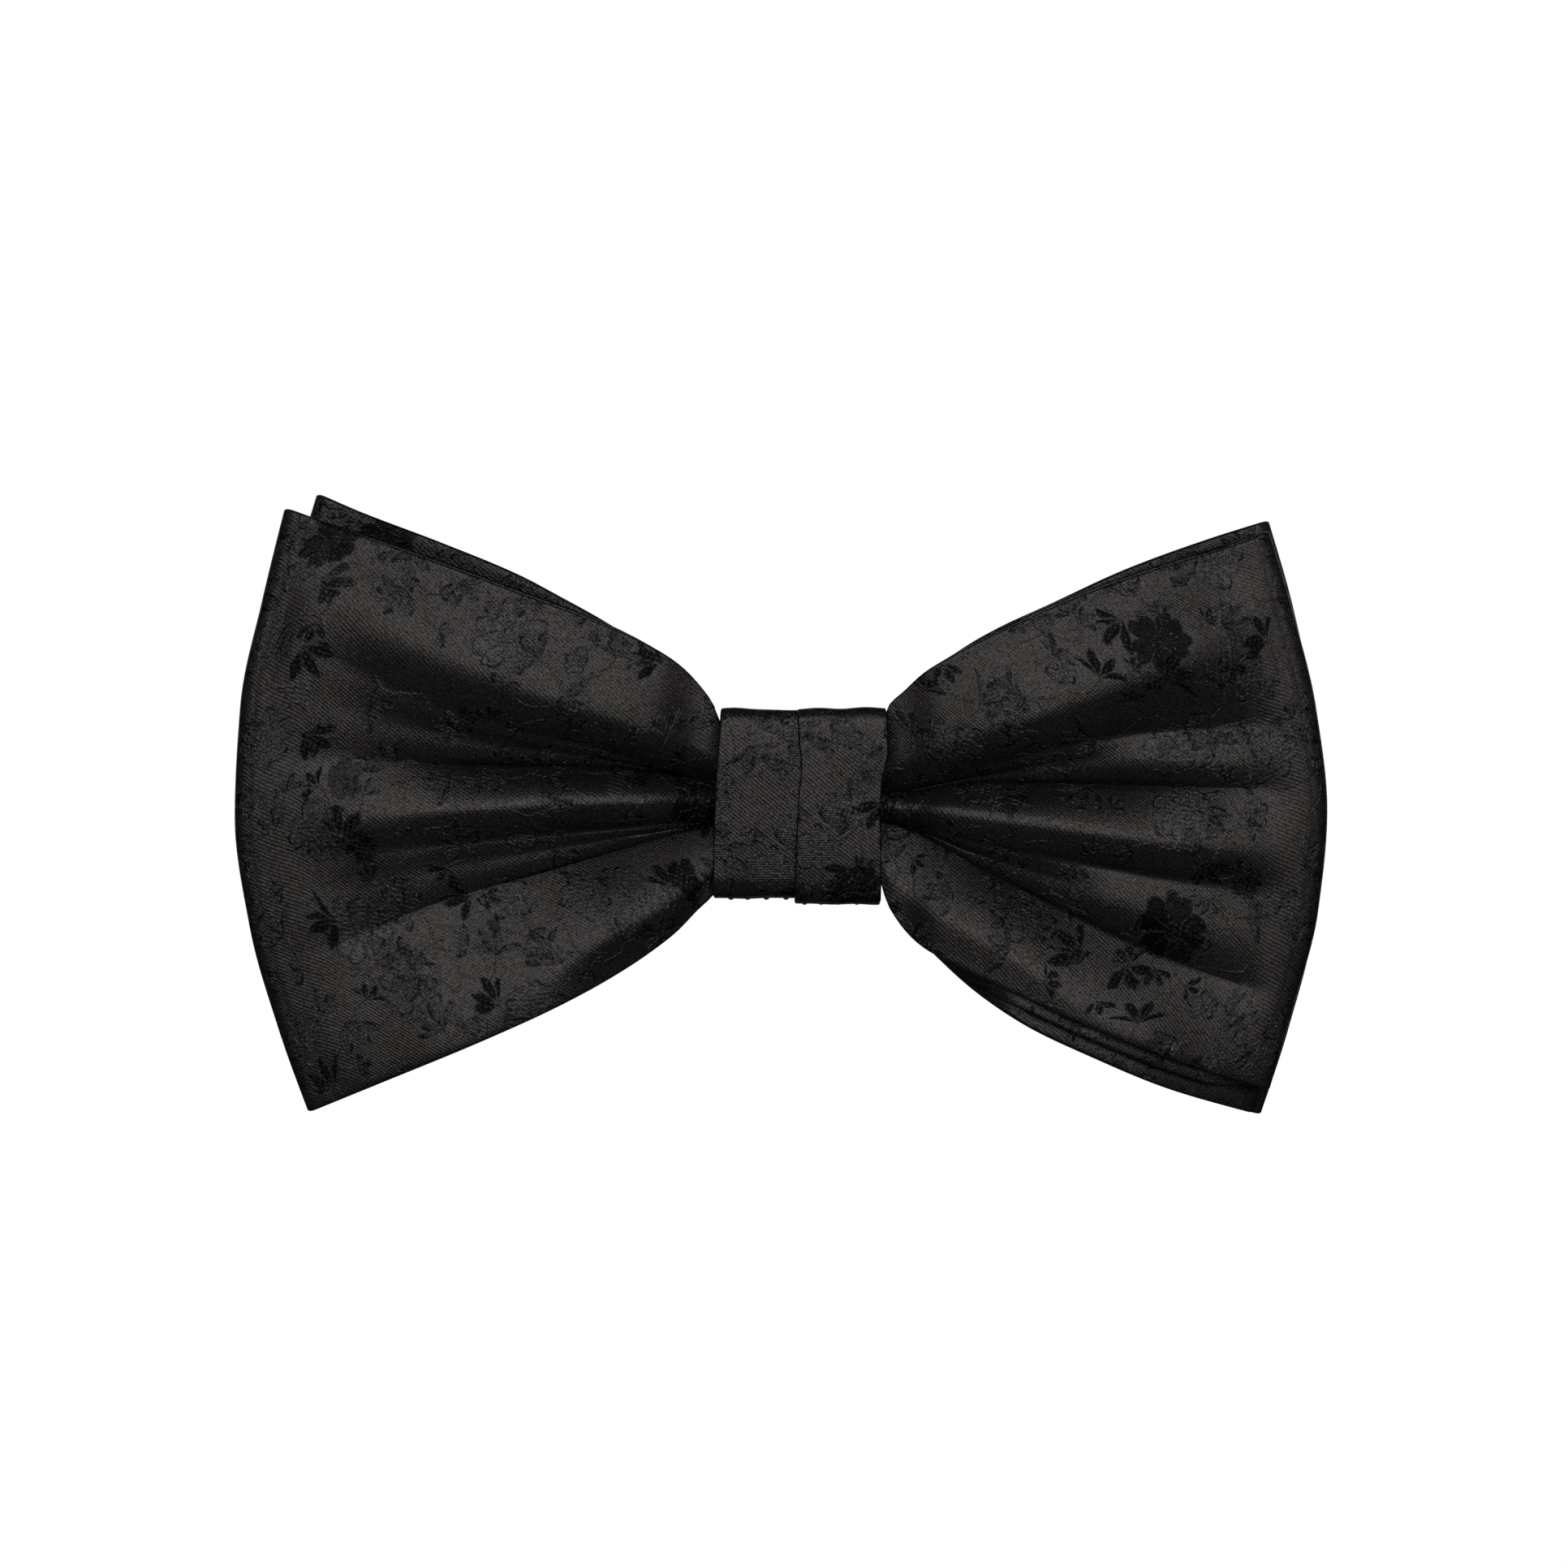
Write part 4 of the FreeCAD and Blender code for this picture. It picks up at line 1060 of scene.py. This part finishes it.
def flower(nodes, place, size, radius, share, seed, clusters):
    """Five-petalled blooms on a loose grid: fill, light stitches with a painted highlight on the lit half of
    each petal's edge, a dark outline that is painted shadow, strongest on the shaded half, and dark fill.

    size is the grid's spacing in mm, radius a bloom's, and share how many places have one.
    """
    shift, moved = moved_by(nodes, place, (seed * 3.7, seed * 9.1))
    x, y, chance, centre = nodes.cells(moved, size, 0.85)
    radius = (chance[2] * 0.4 + 0.8) * radius
    far = nodes.math("SQRT", x * x + y * y)
    turn = (nodes.math("ARCTAN2", y, x) / math.tau + chance[0]) * 5.0
    petal = nodes.math("FLOOR", turn)
    tone = nodes.random(petal + 0.5, chance[0] * 97.0)
    side = nodes.math("FRACT", turn) - 0.5
    edge = nodes.math("SQRT", 1.0 - side * side * 3.7)
    notch = nodes.step(nodes.abs(side), 0.16, 0.0) * 0.14
    reach = (edge * 0.5 + 0.42 - notch + tone * 0.2) * radius
    shown = nodes.step(chance[1], 1 - share - 0.01, 1 - share + 0.01)
    fill = nodes.step(far - reach, 0.05, -0.05) * shown
    arc = far * (math.tau / 5)
    between = nodes.step((0.5 - nodes.abs(side)) * arc, 0.19, 0.09)
    vein = nodes.step(nodes.abs(side) * arc, 0.12, 0.04) * nodes.step(far, radius * 0.75, radius * 0.6)
    ring = nodes.step(nodes.abs(far - radius * 0.24), 0.16, 0.07)
    rim = nodes.step(nodes.abs(far - reach + 0.12), 0.18, 0.08) * shown
    drawn = largest(nodes, between * nodes.step(far, radius * 0.2, radius * 0.3), vein * 0.8, ring) * fill
    # Painted light: this half of each petal counts as the shaded one, the other half as the lit one.
    shaded = nodes.step(side, -0.06, 0.06)
    # Painted highlight: the light stitched rim stays strong on the lit half of each petal and fades on the
    # shaded half.
    rim = rim * (1.0 - shaded * 0.7)
    # Painted shadow: a dark line just outside each petal's edge, strong on the shaded half and faint on the
    # lit half.
    outline = nodes.step(nodes.abs(far - reach - 0.14), 0.22, 0.12) * shown * (shaded * 0.85 + 0.15)
    dark = fill * in_dark_cluster(nodes, centre, shift, clusters) * (tone * 0.2 + 0.8)
    return fill, nodes.math("MAXIMUM", rim, drawn), outline, dark


def sprig(nodes, place, size, reach, share, seed, clusters):
    """Fans of narrow ribbed leaves on a stalk: fill, light stitches with a painted highlight on the lit side
    of each leaf, painted shadow along the edges and between the ribs, strongest on the shaded side, and dark
    fill.
    """
    shift, moved = moved_by(nodes, place, (seed * 5.3, seed * 2.9))
    x, y, chance, centre = nodes.cells(moved, size, 0.9)
    far = nodes.math("SQRT", x * x + y * y)
    turn = nodes.math("ARCTAN2", y, x) + chance[0] * math.tau
    bounded = nodes.math("WRAP", turn, math.pi, -math.pi)
    each = nodes.math("WRAP", turn, 0.42, -0.42)
    span = nodes.step(nodes.abs(bounded), 1.3, 1.22)
    along = nodes.math("MINIMUM", nodes.math("MAXIMUM", (far - 0.5) / reach, 0.0), 1.0)
    wide = nodes.math("POWER", nodes.sin(along * math.pi), 0.8) * (0.15 * reach + 0.1)
    off = nodes.abs(each) * far
    chosen = nodes.step(chance[1], 1 - share - 0.01, 1 - share + 0.01)
    near = nodes.step(far, reach + 0.55, reach + 0.45)
    here = chosen * span * near
    fill = nodes.step(off - wide, 0.04, -0.05) * here
    spine = nodes.step(off, 0.14, 0.06)
    ribs = nodes.step(nodes.sin((far + off * 1.3) * 10.0), 0.2, 0.8) * 0.7
    # Painted light: this side of each leaf counts as the shaded one, the other side as the lit one.
    shaded = nodes.step(each, -0.02, 0.02)
    # Painted highlight: the light rim along a leaf's edge fades on the shaded side.
    rim = nodes.step(nodes.abs(off - wide + 0.08), 0.12, 0.05) * here * (1.0 - shaded * 0.8)
    drawn = largest(nodes, largest(nodes, spine, ribs) * fill, rim)
    # Painted shadow: a dark line just outside each leaf's edge.
    outline = nodes.step(nodes.abs(off - wide - 0.1), 0.24, 0.13) * here
    # Painted shade: the leaf's fill between its ribs is darkened too, and the whole mark is strong on the
    # shaded side and faint on the lit side.
    outline = nodes.math("MAXIMUM", outline, fill * (0.7 - ribs)) * (shaded * 0.85 + 0.15)
    bend = nodes.math("WRAP", turn + far * 0.16 + math.pi, math.pi, -math.pi)
    stem = nodes.step(nodes.abs(bend) * far, 0.15, 0.06) * chosen * nodes.step(far, reach * 1.7, reach * 1.5)
    dark = fill * in_dark_cluster(nodes, centre, shift, clusters)
    return fill, nodes.math("MAXIMUM", drawn, stem), outline, dark


def largest(nodes, *values):
    """The largest of several values."""
    total = values[0]
    for value in values[1:]:
        total = nodes.math("MAXIMUM", total, value)
    return total


def jacquard(name, twill=TWILL, clusters=0.61, start=(0.0, 0.0), density=1.0):
    """Black satin with a tone-on-tone scatter of generic blooms, leaf sprays and stems."""
    n = Nodes(name)
    place, u, v = cloth_place(n)
    lines, warp = satin_threads(n, place, u, v, twill)
    sway_u = (n.noise(n.vector(u + 57.0, v), 0.1, 1.0) - 0.5) * 3.0
    sway_v = (n.noise(n.vector(u, v + 83.0), 0.1, 1.0) - 0.5) * 3.0
    jitter = n.vector(
        u + start[0] + sway_u + (n.noise(place, 1.2, 2.0) - 0.5) * 0.35,
        v + start[1] + sway_v + (n.noise(n.vector(u + 31.0, v), 1.2, 2.0) - 0.5) * 0.35,
    )
    big = flower(n, jitter, 11.0, 3.3, 0.55 * density, 1.0, clusters)
    small = flower(n, jitter, 7.6, 1.9, 0.3 * density, 2.0, clusters)
    leaf = sprig(n, jitter, 7.2, 2.9, 0.85 * density, 3.0, clusters)
    tiny = sprig(n, jitter, 4.6, 1.5, 0.5 * density, 4.0, clusters)
    wander = n.noise(place, 0.085, 1.0)
    vine = n.step(n.abs(wander - 0.5), 0.007, 0.003)
    vine = vine * n.step(n.noise(place, 0.15, 1.0), 0.46, 0.5)
    # Each motif's third part is painted shadow along its edges and between leaf ribs; its light stitches
    # carry a painted highlight on the lit side of each edge.
    fill, drawn, painted_edge_shadows, dark = (largest(n, *parts) for parts in zip(big, small, leaf, tiny))
    drawn = n.math("MAXIMUM", drawn, vine)
    stitched = n.step(n.sin(v * 11.0 + u * 4.0) + n.sin(u * 10.0 - v * 3.0), -0.9, 0.4)
    # Light beaded stitches, with a painted highlight on the lit side of each motif's edge.
    stitches_and_painted_highlight = drawn * (stitched * 0.85 + 0.15) * (dark * 0.45 + 0.55)
    broken = n.step(n.noise(place, 0.75, 1.0), 0.45, 0.54)
    # Painted shadow along motif edges, broken into dashes.
    painted_edge_shadows = painted_edge_shadows * (1.0 - stitched * 0.25) * (broken * 0.8 + 0.2)

    grain = n.noise(n.vector(u * 1.5, v * 2.0), 2.6, 2.0, 0.75)
    salt = n.random(n.math("FLOOR", u / 0.2 + v * 1.7), n.math("FLOOR", v / 0.16)) - 0.5
    shine = n.mix(fill, salt, salt * 1.5)
    ground = lines * 0.38 + warp * 0.16 + grain * 0.9
    motif = n.sin(u * (math.tau / 0.27)) * 0.35 + n.sin(v * (math.tau / 0.5)) * 0.2 + grain * 0.8
    weave = n.mix(fill, ground, motif)
    # The painted edge shadows also sink the relief a little.
    height = weave * 0.06 + fill * 0.06 + stitches_and_painted_highlight * 0.36 - painted_edge_shadows * 0.12 - dark * 0.08

    specks = n.node(
        "ShaderNodeTexVoronoi", {"Vector": place, "Scale": 0.6, "Randomness": 1.0}, voronoi_dimensions="2D"
    )
    chance = n.split(specks.outputs["Color"])[0]
    speck = n.step(Socket(n, specks.outputs["Distance"]), 0.08, 0.03) * n.step(chance, 0.86, 0.88)
    tone = lines * 0.1 + grain * 1.3 + shine * 0.4 - 0.16
    # Painted shadow darkens the colour along motif edges and between leaf ribs; the dark-woven clusters are
    # the cloth's own colour.
    tone = tone * (1.0 + fill * 0.03) * (1.0 - painted_edge_shadows * 0.78) * (1.0 - dark * 0.88)
    # Light stitches, with their painted highlight, brighten it.
    tone = tone + stitches_and_painted_highlight * 0.36 + speck * 1.0
    light = n.colour(fill, grey(0.064, WARM), grey(0.064, COOL))
    colour = n.colour(n.math("MAXIMUM", tone, 0.0), grey(0.001, WARM), light)
    rough = n.math("MAXIMUM", fill * 0.05 - lines * 0.02 + dark * 0.06 + 0.31, 0.2)
    return n.finish(colour, rough, height, 0.3, JACQUARD_SHINE)


def plain_satin(name):
    """The strap's plain black satin."""
    n = Nodes(name)
    place, u, v = cloth_place(n)
    lines, warp = satin_threads(n, place, u, v)
    fleck = n.noise(n.vector(u * 0.6, v * 3.0), 1.5, 3.0)
    slub = n.noise(n.vector(u * 0.25, v * 2.4), 0.8, 2.0)
    worn = n.step(n.noise(place, 0.09, 3.0), 0.35, 0.75)
    tone = lines * 0.12 + fleck * 0.35 + slub * 0.35 + worn * 0.2
    colour = n.colour(tone, grey(0.004, WARM), grey(0.055, WARM))
    rough = slub * 0.14 + worn * 0.05 + 0.34
    height = lines * 0.12 + warp * 0.05 + fleck * 0.25 + slub * 0.5
    return n.finish(colour, rough, height, 0.05, STRAP_SHINE)


def canvas(name):
    """Stiff dark woven interlining."""
    n = Nodes(name)
    place, u, v = cloth_place(n)
    grid = n.abs(n.sin(u * 5.2)) * n.abs(n.sin(v * 5.2))
    fleck = n.noise(place, 2.4, 3.0)
    colour = n.colour(grid * 0.5 + fleck * 0.6, grey(0.012), grey(0.05, (1.0, 0.98, 0.94)))
    return n.finish(colour, fleck * 0.15 + 0.75, grid + fleck * 0.5, 0.09)


def thread_material(name):
    """Black polyester sewing thread with a visible twist."""
    n = Nodes(name)
    place, (x, y, z) = n.object_place()
    twist = n.sin((x + y + z * 1.4) * (math.tau / 0.00038))
    fuzz = n.noise(place, 3200.0, 3.0)
    colour = n.colour(twist * 0.25 + fuzz * 0.7, grey(0.008), grey(0.05))
    return n.finish(colour, fuzz * 0.2 + 0.42, twist * 0.4 + fuzz * 0.5, 0.05, {"Sheen Weight": 0.15})


def metal(name):
    """Nickel plate, brushed by use and dulled a little in places."""
    n = Nodes(name)
    place, (x, y, z) = n.object_place()
    brushed = n.noise(n.vector(x * 0.12, y * 0.12, z), 5200.0, 3.0)
    dull = n.noise(place, 210.0, 4.0, 0.6)
    scuff = n.step(n.noise(place, 900.0, 4.0, 0.7), 0.62, 0.74)
    colour = n.colour(dull, grey(0.46, (1.0, 0.98, 0.94)), grey(0.66, (1.0, 0.985, 0.955)))
    rough = dull * 0.16 + brushed * 0.1 + scuff * 0.14 + 0.12
    return n.finish(colour, rough, brushed * 0.5 + scuff * 0.4, 0.012, {"Metallic": 1.0})


def floor_material(name):
    """Plain pale studio floor."""
    n = Nodes(name)
    place = n.object_place()[0]
    grain = n.noise(place, 90.0, 4.0)
    colour = n.colour(grain, grey(0.80), grey(0.84, (1.0, 1.0, 0.99)))
    return n.finish(colour, grain * 0.1 + 0.6, grain, 0.05)


def dress(obj, material):
    """Gives an object one material."""
    obj.data.materials.clear()
    obj.data.materials.append(material)
    return obj


floral = jacquard("floral_satin")
floral_knot = jacquard("floral_satin_knot", (0.78, -0.62), 0.64, (61.0, 17.0), 1.7)
strap_cloth = plain_satin("strap_satin")
lining_cloth = canvas("interlining_canvas")
thread = thread_material("sewing_thread")
nickel = metal("nickel_plate")

for material, finish, pieces in (
    (floral, "jacquard", (front_bow, back_bow)),
    (floral_knot, "jacquard", (wrap, lap)),
    (lining_cloth, "interlining", (front_canvas, back_canvas, knot_pad)),
    (strap_cloth, "strap_satin", (left_strap, right_strap, return_strap)),
    (thread, "thread", (stitches, left_tack, slide_tack)),
):
    for piece in pieces:
        dress(piece, material)

# ------------------------------------------------------------------ camera, floor and lights

CAMERA_AT = (-1.87, -1000.0, 2.23)
SENSOR = 36.0
# The picture is this wide at the depth of the bow's face.
VIEW_WIDTH = 172.3
BOW_FRONT = -12.0
AMBIENT = 0.1
FLOOR_Y, FLOOR_Z, FLOOR_RADIUS = 60.0, -150.0, 560.0
RIM = 96


def place_camera():
    """A camera straight in front of the bow, level with the knot."""
    data = bpy.data.cameras.new("camera")
    data.sensor_width = SENSOR
    data.lens = SENSOR * (BOW_FRONT - CAMERA_AT[1]) / VIEW_WIDTH
    data.clip_end = 10.0
    camera = link(bpy.data.objects.new("camera", data))
    camera.location = Vector(CAMERA_AT) * MM
    camera.rotation_euler = (math.pi / 2, 0, 0)
    bpy.context.scene.camera = camera


def softbox(name, place, target, size, power):
    """A rectangular area light aimed at a point, in metres and watts."""
    data = bpy.data.lights.new(name, "AREA")
    data.shape = "RECTANGLE"
    data.size, data.size_y = size
    data.energy = power
    light = link(bpy.data.objects.new(name, data))
    light.location = place
    aim = Vector(target) - Vector(place)
    light.rotation_euler = aim.to_track_quat("-Z", "Y").to_euler()
    light.visible_camera = False


def studio_world():
    """Plain white behind the object, and only a faint even light from all round."""
    world = bpy.data.worlds.new("studio")
    bpy.context.scene.world = world
    world.use_nodes = True
    nodes, links = world.node_tree.nodes, world.node_tree.links
    nodes.clear()
    choose = nodes.new("ShaderNodeMixShader")
    links.new(nodes.new("ShaderNodeLightPath").outputs["Is Camera Ray"], choose.inputs[0])
    for place, strength in ((1, AMBIENT), (2, 1.0)):
        light = nodes.new("ShaderNodeBackground")
        light.inputs["Color"].default_value = (1, 1, 1, 1)
        light.inputs["Strength"].default_value = strength
        links.new(light.outputs[0], choose.inputs[place])
    links.new(choose.outputs[0], nodes.new("ShaderNodeOutputWorld").inputs[0])


def floor_disc():
    """A flat round floor with a rounded rim, below the hanging bow."""
    rings = [(0.0, 0.0)]
    rings += [(FLOOR_RADIUS - back, -drop) for back, drop in ((12, 0), (3, 1.5), (0, 6), (0, 12))]
    verts = [(0, FLOOR_Y, FLOOR_Z)]
    for radius, height in rings[1:]:
        for k in range(RIM):
            a = math.tau * k / RIM
            verts.append((radius * math.cos(a), FLOOR_Y + radius * math.sin(a), FLOOR_Z + height))
    faces = [(0, 1 + k, 1 + (k + 1) % RIM) for k in range(RIM)]
    for ring in range(len(rings) - 2):
        for k in range(RIM):
            a, b = 1 + ring * RIM + k, 1 + ring * RIM + (k + 1) % RIM
            faces.append((a, a + RIM, b + RIM, b))
    return make_object("floor", verts, faces)


place_camera()
bpy.context.scene.view_settings.view_transform = "Standard"

softbox("key_front", (0.0, -1.27, 0.6), (0, 0, 0), (2.6, 1.5), 21.0)
softbox("left_fill", (-1.4, 0.0, 0.6), (0, 0, 0), (1.0, 0.8), 0.6)
softbox("right_fill", (1.4, 0.0, 0.6), (0, 0, 0), (1.0, 0.8), 0.6)
softbox("rear_fill", (0.0, 1.4, 0.34), (0, 0.06, 0), (2.2, 1.0), 11.0)

studio_world()
floor = dress(floor_disc(), floor_material("floor_paint"))
floor.visible_glossy = False

# ------------------------------------------------------------------ joining to the frame

for piece in (front_bow, back_bow, front_canvas, back_canvas, wrap, lap, knot_pad, stitches, right_strap):
    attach(piece, ROOT)
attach(left_tack, "left_end")
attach(slide_tack, "slide")

for piece, *nodes in (
    (front_bow, "front_bow_shell"),
    (front_canvas, "front_bow_interlining"),
    (back_bow, "back_bow_shell"),
    (back_canvas, "back_bow_interlining"),
    (wrap, "knot_wrap"),
    (knot_pad, "knot_interlining"),
    (stitches, "knot_closing_stitches"),
    (right_strap, "strap_right"),
    (left_strap, "strap_left", "strap_left_tip"),
    (return_strap, "strap_right_return", "adjuster_strap_end"),
    (left_tack, "strap_left_bartack"),
    (slide_tack, "adjuster_bartack"),
):
    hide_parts(*nodes)


def spot(radius, angle):
    """A point of the back arc's plane in metres."""
    return (*(polar(radius, angle) * MM), 0.0)


swing_start, swing_end = (spot(BACK_RADIUS, SWING_ANGLE + s * SWING_SPREAD) for s in (-1, 1))
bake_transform(left_strap)
spot(INNER_LINE, -6.0)
spot(INNER_LINE, 13.0)
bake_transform(return_strap)

for name, finish in (
    ("adjuster_frame", nickel),
    ("eye_loop", nickel),
    ("hook", nickel),
    ("waist_binding", thread),
    ("strap_anchor_stitches", thread),
):
    dress(bpy.data.objects[name], finish)
